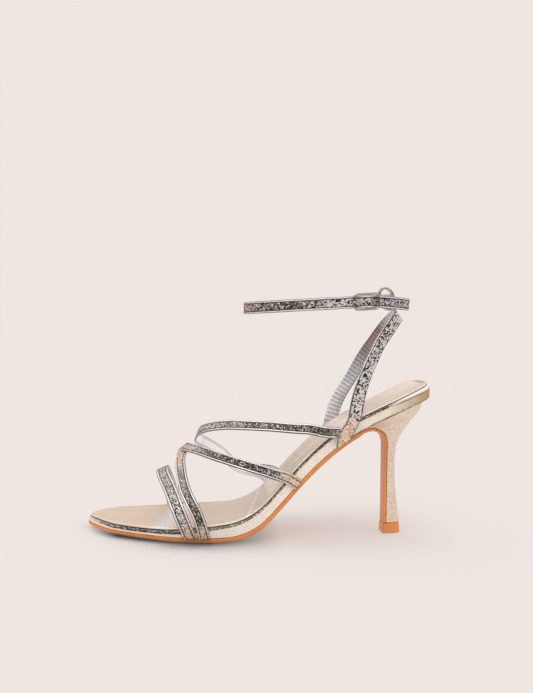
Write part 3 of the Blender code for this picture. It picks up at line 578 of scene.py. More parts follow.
def make_mesh(name, grid, closed_rows, closed_columns, uv, finish, tone=None):
    """Mesh of a grid of points, rows by columns, with its own map in metres.

    tone is a second map, whose two values the material reads as tones.
    """
    rows, columns = grid.shape[:2]
    index = np.arange(rows * columns).reshape(rows, columns)
    low = index if closed_rows else index[:-1]
    high = np.roll(index, -1, axis=0) if closed_rows else index[1:]
    if closed_columns:
        quads = np.stack([low, np.roll(low, -1, 1), np.roll(high, -1, 1), high], -1)
    else:
        quads = np.stack([low[:, :-1], low[:, 1:], high[:, 1:], high[:, :-1]], -1)
    corners = quads.reshape(-1)
    count = len(corners) // 4
    mesh = bpy.data.meshes.new(name)
    mesh.vertices.add(rows * columns)
    mesh.vertices.foreach_set("co", grid.reshape(-1).astype(np.float32))
    mesh.loops.add(len(corners))
    mesh.loops.foreach_set("vertex_index", corners.astype(np.int32))
    mesh.polygons.add(count)
    mesh.polygons.foreach_set("loop_start", np.arange(0, len(corners), 4, dtype=np.int32))
    mesh.polygons.foreach_set("loop_total", np.full(count, 4, dtype=np.int32))
    mesh.update(calc_edges=True)
    for label, values in (("UVMap", uv), ("Tone", tone)):
        if values is not None:
            layer = mesh.uv_layers.new(name=label)
            spread = values.reshape(-1, 2)[corners].reshape(-1)
            layer.data.foreach_set("uv", spread.astype(np.float32))
    mesh.polygons.foreach_set("use_smooth", np.full(count, True))
    work = bmesh.new()
    work.from_mesh(mesh)
    bmesh.ops.remove_doubles(work, verts=work.verts, dist=MERGE_WITHIN)
    bmesh.ops.recalc_face_normals(work, faces=work.faces)
    work.to_mesh(mesh)
    work.free()
    mesh.materials.append(finish)
    made = bpy.data.objects.new(name, mesh)
    bpy.context.scene.collection.objects.link(made)
    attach(made, "root")
    return made


def grid_uv(grid):
    """Length along the rows and along the columns, in metres."""
    down = np.linalg.norm(np.diff(grid, axis=0), axis=2).mean(axis=1)
    over = np.linalg.norm(np.diff(grid, axis=1), axis=2).mean(axis=0)
    u = np.concatenate([[0], np.cumsum(down)])
    v = np.concatenate([[0], np.cumsum(over)])
    return np.stack(np.meshgrid(u, v, indexing="ij"), -1)


# The rolled rim from the toe to the seat: share of the length, painted dark reflection and shade,
# white, and depth down the side as a share of its height
RIM_KEYS = (0.02, 0.06, 0.10, 0.30, 0.34, 0.40, 0.52, 0.58, 0.74, 0.84, 0.88, 0.92, 0.97)
RIM_DARK = (0.0, 0.7, 1.0, 1.0, 0.95, 0.85, 0.9, 1.0, 1.0, 1.0, 0.1, 0.0, 0.0)
RIM_BRIGHT = (0.0, 0.0, 0.0, 0.0, 0.0, 0.0, 0.0, 0.0, 0.0, 0.0, 0.8, 1.0, 1.0)
RIM_DEPTH = (0.02, 0.2, 0.36, 0.36, 0.14, 0.03, 0.02, 0.02, 0.02, 0.03, 0.01, 0.06, 0.20)
RIM_FADE = 0.05
UNDER_KEYS = (0.85, 0.88, 0.92, 0.97)       # the dark line under the seat's white rim
UNDER_DARK = (0.0, 1.0, 0.9, 0.4)
PALE_KEYS = (0.0, 0.28, 0.34, 0.75, 0.84)   # brightening of the side below the rim
SIDE_PALE = (0.6, 0.6, 0.5, 0.5, 0.1)
FOOT_LINE = 0.84                            # the dark line along the side's lower edge
FOOT_LINE_START = 0.74
SIDE_PARTS = np.linspace(0.04, 0.97, 18)


def rim_layers():
    """Wrapped board edge from its top inwards, round the rim and down the side."""
    layers = [(inset, lambda s: board_top(s) - RIM_DROP) for inset in RIM_INSIDE]
    for t in np.linspace(0, pi / 2, 7):
        drop = RIM_ROUND * (1 - cos(t)) * RIM_LOW
        layers.append((RIM_ROUND * (1 - sin(t)), lambda s, d=drop: board_top(s) - d))
    for part in SIDE_PARTS:
        layers.append((0.0, lambda s, p=part: (board_top(s) - RIM_LOW * RIM_ROUND) * (1 - p)
                       + board_low(s) * p))
    return layers + [(inset, board_low) for inset in RIM_UNDER]


def build_board(finish):
    """Outer skin of the board: rim, side and a strip underneath, with a dished top."""
    shares = shares_fine()
    rings = []
    for inset, height in rim_layers():
        flat = outline(inset, shares)
        at = share_of(flat[:, 0])
        wide = np.abs(flat[:, 1] - middle(at)) / np.maximum(half_width(at), 0.004)
        sink = dish(at, np.clip(wide, 0, 1)) if inset > RIM_ROUND else 0.0
        rings.append(np.column_stack([flat, height(at) - sink]))
    grid = np.stack(rings, 0)
    share = share_of(grid[..., 0])
    down = np.array([0.02] * 9 + list(SIDE_PARTS) + [1.0, 1.0])[:, None]
    depth = np.interp(share, RIM_KEYS, RIM_DEPTH)
    edge = 1 - np.clip((down - depth) / RIM_FADE, 0, 1)
    foot = np.clip((down - FOOT_LINE) / 0.05, 0, 1) * (share > FOOT_LINE_START)
    under = np.clip(1.4 - np.abs(down - depth - 0.12) / 0.08, 0, 1)
    under = under * np.interp(share, UNDER_KEYS, UNDER_DARK)
    # dark carries the rolled rim's painted dark reflection and shade, and the dark lines along the
    # side's lower edge and under the seat's white rim
    dark = np.maximum(np.maximum(np.interp(share, RIM_KEYS, RIM_DARK) * edge, foot), under)
    pale = (1 - edge) * np.interp(share, PALE_KEYS, SIDE_PALE)
    bright = np.interp(share, RIM_KEYS, RIM_BRIGHT) * edge + pale
    return make_mesh("board_skin", grid, False, True, grid_uv(grid), finish,
                     np.stack([dark, bright], -1))


def build_board_faces(finish, dark):
    """Flat top and underside of the board, closing the skin."""
    shares = shares_fine()
    half = len(shares)
    faces = (("board_top", FACE_INSETS[0], lambda s: board_top(s) - RIM_DROP, finish, SEAT_DISH),
             ("board_bottom", FACE_INSETS[1], board_low, dark, 0.0))
    for name, inset, height, look, sunk in faces:
        flat = outline(inset, shares)
        across = np.linspace(0, 1, 9)[None, :, None]
        grid = flat[:half][:, None, :] * (1 - across) + flat[half:][::-1][:, None, :] * across
        at = share_of(grid[..., 0])
        wide = np.linspace(-1, 1, 9)[None, :] * np.ones((half, 1))
        sink = dish(at, wide) if sunk else 0.0
        grid = np.concatenate([grid, (height(at) - sink)[..., None]], -1)
        make_mesh(name, grid, False, False, grid_uv(grid), look)


def sock_top(share):
    """Z of the sock's upper face, before it sinks at the seat."""
    return board_top(share) + GAP + SOCK_THICK


def build_sock(finish):
    """Insole cover: soft edges, and dished under the heel."""
    shares = shares_fine()
    half = len(shares)
    near = []
    far = []
    for inset, drop in SOCK_PROFILE:
        flat = outline(SOCK_MARGIN + inset, shares)
        ring = np.column_stack([flat, sock_top(share_of(flat[:, 0])) + drop * SOCK_THICK])
        near.append(ring[:half])
        far.append(ring[half:][::-1])
    inner = []
    for part in np.linspace(0, 1, 33)[1:-1]:
        row = near[-1] * (1 - part) + far[-1] * part
        share = share_of(row[:, 0])
        row[:, 2] = sock_top(share)
        row[:, 2] -= dish(share, np.full(half, 2 * part - 1))
        inner.append(row)
    grid = np.stack(near + inner + far[::-1], 0)
    from_edge = np.minimum(*(np.linalg.norm(grid - edge, axis=2) for edge in (grid[:1], grid[-1:])))
    tone = np.stack([from_edge, share_of(grid[..., 0])], -1)
    made = make_mesh("sock_skin", grid, False, False, grid_uv(grid), finish, tone)
    made.data.flip_normals()
    return made


def outsole_sections():
    """Sections of the outsole, then of its flap down the heel's front."""
    rows = []
    for share in np.linspace(TOE_START + 0.0008, LIP_PLACE - 0.012, 230):
        tilt = float(slope(share))
        half = max(float(half_width(share)) - EDGE_INSET, EDGE_INSET)
        centre = float(middle(share))
        low = np.array((sin(tilt), 0, -cos(tilt)))
        top = np.array((float(place(share)), 0, float(board_low(share)) - GAP))
        rows.append((top, low, float(outsole_thick(share)), centre - half, centre + half))
    front_x, front_z = heel_front()
    key = np.arange(len(front_x), dtype=float)
    front = np.stack([front_x, front_z, HEEL["front_half"] * STEM_WIDTH / 2], 1)
    x, z, half = cubic(key, front, np.linspace(0, key[-1], 120)).T
    dx = np.gradient(x)
    dz = np.gradient(z)
    length = np.hypot(dx, dz)
    lip = float(half_width(LIP_PLACE)) - EDGE_INSET
    for k in range(len(x)):
        out = np.array((dz[k] / length[k], 0, -dx[k] / length[k]))
        wide = min(half[k], lip)
        top = np.array((x[k], 0, z[k])) + out * GAP
        rows.append((top, out, FLAP_THICK, HEEL_MIDDLE - wide, HEEL_MIDDLE + wide))
    return rows


def build_outsole(finish):
    """Sole leather with softened edges, from the toe to the flap's end."""
    corner = np.linspace(0, pi / 2, 4)
    waist = float(place(0.5))
    rows = []
    for top, out, thick, near, far in outsole_sections():
        soft = min(OUTSOLE_SOFT, 0.3 * thick, 0.4 * (far - near))
        edge = [(0.0, 0.0), (0.0, 0.35)]
        edge += [(soft * (1 - cos(t)), (thick - soft + soft * sin(t)) / thick) for t in corner]
        inner = np.linspace(near + soft, far - soft, 12)[1:-1]
        points = [(near + inwards, deep) for inwards, deep in edge]
        points += [(y, 1.0) for y in inner]
        points += [(far - inwards, deep) for inwards, deep in edge[::-1]]
        points += [(y, 0.0) for y in inner[::-1]]
        ring = []
        for y, deep in points:
            p = top + out * thick * deep
            ring.append((p[0], y, max(p[2], 0.0) if top[0] < waist else p[2]))
        rows.append(ring)
    grid = np.array(rows)
    made = make_mesh("outsole_skin", grid, False, True, grid_uv(grid), finish)
    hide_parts("outsole")
    return made


def heel_ring(x, y, z, front_x, front_y, front_z):
    """One ring of the heel block: round its back, then across its flat front."""
    count = len(front_y)
    front = np.column_stack([np.full(count, front_x), front_y, np.full(count, front_z)])
    return np.vstack([np.column_stack([x, y, z]), front])


def heel_grid():
    """Fine rings of the heel block: 97 points round, seat to foot."""
    turn = np.linspace(-pi / 2, pi / 2, 73)
    back = np.clip(np.cos(turn), 0, 1) ** HEEL_SQUARE
    side = np.sign(turn) * np.abs(np.sin(turn)) ** HEEL_SQUARE
    across = np.linspace(1, -1, 26)[1:-1]
    seat = LIP_PLACE + (HEEL_END - LIP_PLACE) * back
    half = np.maximum(half_width(seat) - HEEL_INSET, 0)
    y = middle(seat) + np.sign(side) * half * np.abs(side) ** 0.2
    x = place(seat) + seat_skew(seat, y)
    z = board_low(share_of(x)) - GAP
    lip_y = middle(LIP_PLACE) + across * (half_width(LIP_PLACE) - HEEL_INSET)
    rings = [heel_ring(x, y, z, place(LIP_PLACE), lip_y, heel_lip())]
    front_x, front_z = heel_front()
    back_x = place(STEM_PLACE + HEEL["back"] * (1 - STEM_PLACE) * HEEL_SPAN)
    back_z = HEEL["back_height"] * heel_lip()
    for k in range(len(front_x)):
        widest = HEEL["half"][k] * STEM_WIDTH / 2
        narrow = HEEL["front_half"][k] * STEM_WIDTH / 2
        x = front_x[k] + (back_x[k] - front_x[k]) * back
        z = front_z[k] + (back_z[k] - front_z[k]) * back
        y = HEEL_MIDDLE + side * (widest - (widest - narrow) * (1 - back) ** 2)
        rings.append(heel_ring(x, y, z, front_x[k], HEEL_MIDDLE + across * narrow, front_z[k]))
    key = np.array([0.0] + [float(k) + 0.8 for k in range(len(rings) - 1)])
    fine = np.concatenate([np.linspace(0, 0.3, 4)[:-1], np.linspace(0.3, key[-1], 110)])
    return cubic(key, np.stack(rings, 0), fine)


def build_heel(finish):
    """Covered heel block."""
    grid = heel_grid()
    middle_top = grid[0].copy()
    middle_top[:, 1] = HEEL_MIDDLE
    middle_low = grid[-1].mean(axis=0) * np.ones_like(grid[-1])
    grid = np.concatenate([middle_top[None], grid, middle_low[None]], 0)
    made = make_mesh("heel_skin", grid, False, True, grid_uv(grid), finish)
    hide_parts("heel")
    return made


def build_top_piece(finish):
    """The lift, with softened lower edges."""
    foot = heel_grid()[-1][:, :2]
    centre = foot.mean(axis=0)
    front = foot[:, 0] <= foot[:, 0].min() + 0.0002
    top, low = (np.column_stack([np.tile(centre, (len(foot), 1)), np.full(len(foot), z)])
                for z in (LIFT_PROFILE[0][1], 0.0))
    rings = []
    for grow, z in LIFT_PROFILE:
        ring = foot + np.sign(foot - centre) * grow * LIFT_FLARE
        ring[front, 0] -= FLAP_THICK + GAP
        rings.append(np.column_stack([ring, np.full(len(ring), z)]))
    grid = np.stack([top] + rings + [low], 0)
    made = make_mesh("top_piece_skin", grid, False, True, grid_uv(grid), finish)
    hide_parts("top_piece")
    return made


def squared(vectors, ahead):
    """Directions turned square to the way ahead."""
    return unit(vectors - np.sum(vectors * ahead, 1, keepdims=True) * ahead)


def strap_frame(rows, feet, heart, lift=(0.0, 0.0), raise_by=0.0, settle=FOOT_SETTLE):
    """Middle line of a strap with its outward and across directions."""
    points, run = smooth_line(strap_points(rows, feet, lift), FINE)
    ahead = unit(np.gradient(points, axis=0))
    centre = (float(place(heart[0])), heart[1] * BALL_WIDTH, heart[2] * INSTEP_HEIGHT)
    away = squared(points - np.array(centre), ahead)
    share = share_of(points[:, 0])
    ends = ((-1, run), (1, run[-1] - run))
    for side, from_foot in ends:
        weight = smooth(np.clip(1 - from_foot / settle, 0, 1))[:, None]
        out_x, out_y = side_normal(share, side)
        away = away * (1 - weight) + np.stack([out_x, out_y, np.zeros_like(out_x)], 1) * weight
    away = squared(away, ahead)
    across = unit(np.cross(away, ahead))
    tilt = slope(share)
    for side, from_foot in ends:
        out_x, out_y = side_normal(share, side)
        edge = unit(np.stack([out_y * side, -out_x * side, np.tan(tilt) * np.abs(out_y)], 1))
        edge = edge * np.sign(np.sum(edge * across, 1, keepdims=True))
        weight = smooth(np.clip(1 - from_foot / FOOT_REACH, 0, 1)[:, None])
        level = unit(across * (1 - weight) + edge * weight)
        stretch = np.clip(np.sum(level * across, 1, keepdims=True), 0.5, 1)
        across = np.where(weight > 0, level / stretch, across)
    return points + away * raise_by, away, across, run


def band_profile(width, thick):
    """Section of a folded strap: two raised edges, a groove beside each, a flat lining.

    Returns offsets across and outward, and for each point 0 on the outer face,
    0.5 on the rounded sides and 1 on the lining.
    """
    half = width / 2
    deep = thick / 2
    outer = np.linspace(-1, 1, 29)
    rib = half - np.abs(outer) * half
    groove = np.exp(-((rib - EDGE_RIB) / GROOVE_WIDTH) ** 2)
    swell = np.where(rib < EDGE_RIB, np.sin(np.clip(rib / EDGE_RIB, 0, 1) * pi), 0.0)
    height = deep - RIB_SWELL - GROOVE_DEPTH * groove + RIB_SWELL * swell
    flat = np.column_stack([outer * (half - 0.25 * thick), height])
    turn = np.linspace(pi / 2, -pi / 2, 7)[1:-1]
    right = np.column_stack([half - 0.3 * thick + 0.3 * thick * np.cos(turn),
                             (deep - 0.00014) * np.sin(turn)])
    inner = np.linspace(1, -1, 9)
    back = np.column_stack([inner * (half - 0.3 * thick), np.full(9, -deep)])
    left = np.column_stack([-right[::-1, 0], right[::-1, 1]])
    parts = ((flat, 0.0), (right, 0.5), (back, 1.0), (left, 0.5))
    face = np.concatenate([np.full(len(part), value) for part, value in parts])
    return np.vstack([part for part, value in parts]), face


def band_mesh(name, frame_at, width, thick, finish, tones, closed=False):
    """A strap's fine skin: its map holds length along and distance across.

    tones are rows of: share of the run, painted darkness, share of painted gold reflection.
    """
    points, away, across, run = frame_at
    ring, face = band_profile(width, thick)
    grid = points[:, None] + across[:, None] * ring[None, :, :1] + away[:, None] * ring[None, :, 1:]
    u = np.repeat(run[:, None], len(ring), 1)
    v = np.repeat((ring[:, 0] / width + face * 2)[None], len(run), 0)
    if not closed:
        grid, u, v = close_ends(grid, u, v)
    key, dark, gold = np.array(tones).T
    share = u / run[-1]
    tone = np.stack([np.interp(share, key, dark), np.interp(share, key, gold)], -1)
    return make_mesh(name, grid, closed, True, np.stack([u, v], -1), finish, tone)


def close_ends(grid, u, v):
    """Draw both ends in to their middles."""
    first = grid[0].mean(axis=0)
    last = grid[-1].mean(axis=0)
    head = [first + (grid[0] - first) * k for k in (0.02, 0.6)]
    tail = [last + (grid[-1] - last) * k for k in (0.6, 0.02)]
    grid = np.concatenate([np.stack(head), grid, np.stack(tail)], 0)
    return grid, *(np.concatenate([m[:1], m[:1], m, m[-1:], m[-1:]], 0) for m in (u, v))


# Each band along its run from the buckle side: share, darkness, share of gold. The darkness is
# painted shade and dark reflection on the foil, and the gold is painted warm reflection.
TOE_TONES = ((0.0, 0.1, 1.0), (0.05, 0.2, 0.6), (0.09, 0.3, 0.0), (0.2, 0.5, 0.1), (0.5, 0.5, 0.35),
             (1.0, 0.0, 0.0))
FRONT_TONES = ((0.0, 0.2, 1.0), (0.04, 0.6, 0.5), (0.07, 1.0, 0.0), (0.2, 0.75, 0.0),
               (0.32, 0.6, 0.1), (0.40, 0.4, 0.9), (0.50, 0.2, 0.9), (0.6, 0.0, 0.1), (1.0, 0.0, 0.0))
CROSS_TONES = ((0.0, 0.0, 1.0), (0.06, 0.2, 0.8), (0.09, 0.9, 0.1), (0.14, 1.0, 0.0),
               (0.3, 1.0, 0.0), (0.42, 0.8, 0.2), (0.5, 0.4, 0.9), (0.6, 0.1, 0.2), (1.0, 0.0, 0.0))
INSTEP_TONES = ((0.0, 0.2, 0.4), (0.06, 0.8, 0.0), (0.1, 1.0, 0.0), (0.25, 1.0, 0.0),
                (0.4, 0.6, 0.0), (0.5, 0.3, 0.2), (0.56, 0.1, 0.3), (0.62, 0.0, 0.0), (1.0, 0.0, 0.0))
SLING_TONES = ((0.0, 0.0, 1.0), (0.06, 0.1, 0.9), (0.10, 0.15, 0.0), (0.4, 0.1, 0.0),
               (0.47, 0.0, 0.0), (0.54, 0.4, 0.0), (0.6, 0.9, 0.0), (0.68, 0.7, 0.0),
               (0.76, 0.18, 0.0), (1.0, 0.22, 0.0))
ANKLE_TONES = ((0.0, 0.0, 0.0), (0.12, 0.5, 0.0), (0.2, 0.4, 0.0), (0.55, 0.3, 0.4),
               (0.60, 0.5, 0.6), (0.64, 0.8, 0.1), (0.72, 0.9, 0.0), (0.8, 0.3, 0.0),
               (0.86, 0.0, 0.0), (0.92, 0.6, 0.0), (1.0, 0.4, 0.0))
LOOP_TONES = ((0.0, 0.1, 0.7), (1.0, 0.1, 0.7))


def build_straps(finish):
    """Toe strap, the two crossed bands and the instep band."""
    toe = strap_frame(TOE_ROWS, TOE_FEET, TOE_HEART)
    toe = band_mesh("toe_band", toe, TOE_STRAP_WIDTH, STRAP_THICK, finish, TOE_TONES)
    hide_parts("toe_strap")
    front = strap_frame(FRONT_ROWS, FRONT_FEET, FRONT_HEART, raise_by=-0.1 * STRAP_THICK)
    front = band_mesh("front_band", front, STRAP_WIDTH, STRAP_THICK, finish, FRONT_TONES)
    over = strap_frame(CROSS_ROWS, CROSS_FEET[::-1], VAMP_HEART, raise_by=0.5 * STRAP_THICK)
    band_mesh("cross_band", over, STRAP_WIDTH, STRAP_THICK, finish, CROSS_TONES)
    instep = strap_frame(INSTEP_ROWS, INSTEP_FEET, INSTEP_HEART, settle=INSTEP_SETTLE)
    band_mesh("instep_band", instep, STRAP_WIDTH, STRAP_THICK, finish, INSTEP_TONES)
    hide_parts("cross_straps")


def build_sling(finish):
    """Sling and its back loop."""
    sling = strap_frame(SLING_ROWS, SLING_FEET, SLING_HEART, SLING_LIFT, settle=SLING_SETTLE)
    sling = band_mesh("sling_band", sling, SLING_WIDTH, STRAP_THICK, finish, SLING_TONES)
    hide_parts("sling_strap")
    top = sling_top()
    line = [(top.x + a * LOOP_RISE, top.y, top.z + b * LOOP_RISE) for a, b in LOOP_ROWS]
    points, run = even_line(np.array(line + line[:1]), TIGHT_STEP)
    points = points[:-1]
    ahead = unit(np.roll(points, -1, axis=0) - np.roll(points, 1, axis=0))
    across = np.tile(np.array((0.0, 1.0, 0.0)), (len(points), 1))
    loop = (points, np.cross(across, ahead), across, run[:-1])
    band_mesh("back_loop", loop, LOOP_WIDTH, LOOP_THICK, finish, LOOP_TONES, closed=True)


def ankle_start():
    """The ankle ring from the buckle's bar round, with its directions there."""
    x, y = ankle_ring()
    from_bar = np.abs(x - ankle_seat()[0] - BUCKLE_PLACE)
    start = int(np.argmin(np.where(y < 0, from_bar, 9)))
    ring = np.roll(np.stack([x[:-1], y[:-1]], 1), -start, axis=0)
    ring = np.vstack([ring, ring[:1]])
    tangent = unit(ring[1] - ring[0])
    return ring, tangent, np.array((tangent[1], -tangent[0]))


def ankle_frame():
    """Middle line of the ankle strap, and the place of the buckle."""
    centre, level = ankle_seat()
    ring, tangent, side = ankle_start()
    run = run_along(ring)
    total = run[-1]
    bar = BUCKLE_LENGTH / 2 - BUCKLE_WIRE / 2
    layer = ANKLE_THICK + TAIL_GAP
    clear = ANKLE_THICK / 2 + GAP + BUCKLE_WIRE / 2
    frame_left = clear
    frame_right = layer + clear
    frame_mid = (frame_left + frame_right) / 2
    flat_part = BUCKLE_WIRE
    shallow = 0.5 * BUCKLE_HEIGHT
    over = frame_mid + clear
    steps = ((BUCKLE_WIRE, frame_mid - clear), (shallow + BUCKLE_WIRE, 0.0),
             (total - bar + flat_part, 0.0), (total - flat_part, over), (total + flat_part, over),
             (total + bar - flat_part, layer), (total + bar + flat_part, layer),
             (total + TAIL_LENGTH, layer + TAIL_SPRING))
    key, height = np.array(steps).T
    at = np.arange(key[0], total + TAIL_LENGTH, TIGHT_STEP)
    past = np.maximum(at - total, 0)
    wrapped = np.minimum(at, total) + past * TAIL_BEND
    around = np.stack([np.interp(wrapped % total, run, ring[:, i]) for i in (0, 1)], 1)
    flat = around + tangent * past[:, None] * (1 - TAIL_BEND)
    ahead = unit(np.gradient(flat, axis=0))
    out = unit(np.stack([ahead[:, 1], -ahead[:, 0]], 1))
    flat = flat + out * eased(at, key, height)[:, None]
    rise = ANKLE_SLOPE * (flat[:, 0] - centre)
    droop = np.where(at > total, TAIL_DROOP * (past / TAIL_LENGTH) ** 1.5, 0.0)
    points = np.column_stack([flat, level + rise - droop])
    for _ in range(4):
        points[1:-1] = 0.5 * points[1:-1] + 0.25 * (points[:-2] + points[2:])
    ahead = unit(np.gradient(points, axis=0))
    across = unit(np.cross(np.column_stack([out, np.zeros(len(out))]), ahead))
    outward = unit(np.cross(ahead, across))
    bar_z = level + ANKLE_SLOPE * (ring[0][0] - centre)
    origin = Vector((ring[0][0] + side[0] * frame_mid, ring[0][1] + side[1] * frame_mid, bar_z))
    lean = (frame_right - frame_left) / (2 * bar)
    along = Vector((*(tangent + side * lean), ANKLE_SLOPE)).normalized()
    out = Vector((side[0], side[1], 0))
    out = (out - along * out.dot(along)).normalized()
    up = out.cross(along).normalized()
    if up.z < 0:
        up = -up
    return (points, outward, across, at - key[0]), (along, up, out, origin)


def tube(name, line, radius, closed, matrix, finish, ends=None):
    """Round wire along a line, sixteen-sided; an open one is closed at both ends."""
    line = np.array(line, dtype=float)
    if closed:
        ahead = unit(np.roll(line, -1, axis=0) - np.roll(line, 1, axis=0))
    else:
        ahead = unit(np.gradient(line, axis=0))
    up = np.tile(np.array((0.0, 0.0, 1.0)), (len(line), 1))
    side = unit(np.cross(ahead, up))
    up = np.cross(side, ahead)
    turn = np.linspace(0, 2 * pi, 17)[None, :-1, None]
    thick = np.full(len(line), radius) if ends is None else radius * ends
    ring = side[:, None] * np.cos(turn) + up[:, None] * np.sin(turn)
    grid = line[:, None] + ring * thick[:, None, None]
    if not closed:
        tips = [np.tile(line[k], (1, 16, 1)) for k in (0, -1)]
        grid = np.concatenate([tips[0], grid, tips[1]], 0)
    turned = np.array(matrix)
    grid = grid @ turned[:3, :3].T + turned[:3, 3]
    return make_mesh(name, grid, closed, True, grid_uv(grid), finish)


def build_ankle(finish, metal):
    """Ankle strap with its buckle."""
    frame_at, seat = ankle_frame()
    strap = band_mesh("ankle_band", frame_at, ANKLE_WIDTH, ANKLE_THICK, finish, ANKLE_TONES)
    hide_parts("ankle_strap")
    matrix = axes_matrix(*seat)
    wire = BUCKLE_WIRE / 2
    reach = BUCKLE_LENGTH / 2 - wire
    tall = BUCKLE_HEIGHT / 2 - wire
    loop = []
    for corner, (sx, sy) in enumerate(((1, 1), (-1, 1), (-1, -1), (1, -1))):
        for step in range(13):
            angle = (corner + step / 12) * pi / 2
            loop.append((sx * (reach - BUCKLE_CORNER) + BUCKLE_CORNER * cos(angle),
                         sy * (tall - BUCKLE_CORNER) + BUCKLE_CORNER * sin(angle), 0))
    frame = tube("frame_wire", loop, wire, True, matrix, metal)
    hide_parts("buckle_frame")
    bar = [(0, y, 0) for y in np.linspace(-tall, tall, 5)]
    tube("centre_bar", bar, 0.9 * wire, False, matrix, metal)
    thin = PRONG_WIRE / 2
    rest = wire + GAP + thin
    path = ((-wire - GAP, 0, 0.1 * wire), (-0.31 * reach, 0, 0.45 * rest),
            (-0.58 * reach, 0, 0.93 * rest), (-reach, 0, rest), (-reach - 2 * wire, 0, rest - GAP))
    line, run = even_line(np.array(path), 0.0004)
    ends = np.sqrt(np.clip((run[-1] - run) / 0.0006, 0.02, 1))
    prong = tube("prong_wire", line, thin, False, matrix, metal, ends)
    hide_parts("buckle_prong")


def feed(tree, target, value):
    """Link a socket to an input, or set the input's own value."""
    if isinstance(value, bpy.types.NodeSocket):
        tree.links.new(value, target)
    elif target.type == "RGBA" and len(value) == 3:
        target.default_value = (*value, 1.0)
    else:
        target.default_value = value


def node(tree, kind, **settings):
    """Add a shader node: settings that start with in_ name its inputs, the rest its own."""
    made = tree.nodes.new(kind)
    for key, value in settings.items():
        if key.startswith("in_"):
            name = key[3:]
            feed(tree, made.inputs[int(name) if name.isdigit() else name.replace("_", " ")], value)
        else:
            setattr(made, key, value)
    return made


def ramp(tree, value, stops):
    """Colour ramp with its stops."""
    made = node(tree, "ShaderNodeValToRGB", in_0=value)
    line = made.color_ramp
    while len(line.elements) < len(stops):
        line.elements.new(0.5)
    for element, (at, color) in zip(line.elements, stops):
        element.position = at
        element.color = (*color, 1.0)
    return made.outputs["Color"]


def math_node(tree, operation, *values):
    """One arithmetic step."""
    made = node(tree, "ShaderNodeMath", operation=operation)
    for target, value in zip(made.inputs, values):
        feed(tree, target, value)
    return made.outputs[0]


def times(tree, a, b):
    """Product of two values."""
    return math_node(tree, "MULTIPLY", a, b)


def mixed(tree, factor, a, b, blend="MIX"):
    """Blend of two colours."""
    made = node(tree, "ShaderNodeMix", data_type="RGBA", blend_type=blend,
                in_0=factor, in_6=a, in_7=b)
    return made.outputs[2]


def ranged(tree, value, low, high, start=0.0, end=1.0):
    """A value's place from low to high, as a value from start to end."""
    made = node(tree, "ShaderNodeMapRange", in_0=value, in_1=low, in_2=high, in_3=start, in_4=end)
    return made.outputs[0]


def axes_of(tree, vector):
    """X, Y and Z of a vector."""
    return node(tree, "ShaderNodeSeparateXYZ", in_0=vector).outputs


def own_place(tree):
    """Place in the part's own frame."""
    return node(tree, "ShaderNodeTexCoord").outputs["Object"]


def map_place(tree, name):
    """Place on one of the mesh's maps."""
    return node(tree, "ShaderNodeUVMap", uv_map=name).outputs["UV"]


def noise(tree, vector, scale, detail=2.0):
    """Soft cloudy noise."""
    made = node(tree, "ShaderNodeTexNoise", in_Vector=vector, in_Scale=scale, in_Detail=detail)
    return made.outputs[0]


def crackle_group():
    """Crinkled foil: small cells with sunk walls, as a height, a cell shade and a wall mask."""
    group = bpy.data.node_groups.new("crackle", "ShaderNodeTree")
    group.interface.new_socket("Size", in_out="INPUT", socket_type="NodeSocketFloat")
    for name in ("Height", "Shade", "Wall"):
        group.interface.new_socket(name, in_out="OUTPUT", socket_type="NodeSocketFloat")
    inside = node(group, "NodeGroupInput")
    place_in = own_place(group)
    scale = math_node(group, "DIVIDE", 1.0, inside.outputs["Size"])
    drift = node(group, "ShaderNodeTexNoise", in_Vector=place_in, in_Scale=scale, in_Detail=2.0)
    shifted = node(group, "ShaderNodeVectorMath", operation="MULTIPLY_ADD",
                   in_0=drift.outputs["Color"], in_1=(CELL_DRIFT,) * 3, in_2=place_in).outputs[0]
    cells = node(group, "ShaderNodeTexVoronoi", feature="DISTANCE_TO_EDGE", in_Vector=shifted,
                 in_Scale=scale)
    wall = ranged(group, cells.outputs["Distance"], 0.02, 0.16, 1.0, 0.0)
    tone = node(group, "ShaderNodeTexVoronoi", in_Vector=shifted, in_Scale=scale)
    shade = node(group, "ShaderNodeSeparateColor", in_Color=tone.outputs["Color"]).outputs[0]
    grain = noise(group, place_in, times(group, scale, 3.0), 3.0)
    height = math_node(group, "MULTIPLY_ADD", grain, 0.5, shade)
    height = math_node(group, "SUBTRACT", height, times(group, wall, 0.7))
    node(group, "NodeGroupOutput", in_Height=height, in_Shade=shade, in_Wall=wall)


def start_material(name):
    """A material and its tree, with only the output and a Principled shader."""
    made = bpy.data.materials.new(name)
    made.use_nodes = True
    return made, made.node_tree, made.node_tree.nodes["Principled BSDF"]


def finish_look(tree, shader, color, metal, rough, bump=None):
    """Feed the shader; bump is its strength, its depth in metres and its height."""
    for name, value in (("Base Color", color), ("Metallic", metal), ("Roughness", rough)):
        feed(tree, shader.inputs[name], value)
    if bump:
        strength, deep, height = bump
        made = node(tree, "ShaderNodeBump", in_Strength=strength, in_Distance=deep, in_Height=height)
        feed(tree, shader.inputs["Normal"], made.outputs[0])


def use_crackle(tree, size):
    """The crackle group's outputs in a material."""
    group = node(tree, "ShaderNodeGroup", node_tree=bpy.data.node_groups["crackle"], in_Size=size)
    return group.outputs


def between(tree, value, low, high, soft):
    """A mask that is 1 from low to high and fades over a soft width at both ends."""
    rise = ranged(tree, value, low - soft, low + soft)
    fall = ranged(tree, value, high - soft, high + soft, 1.0, 0.0)
    return times(tree, rise, fall)


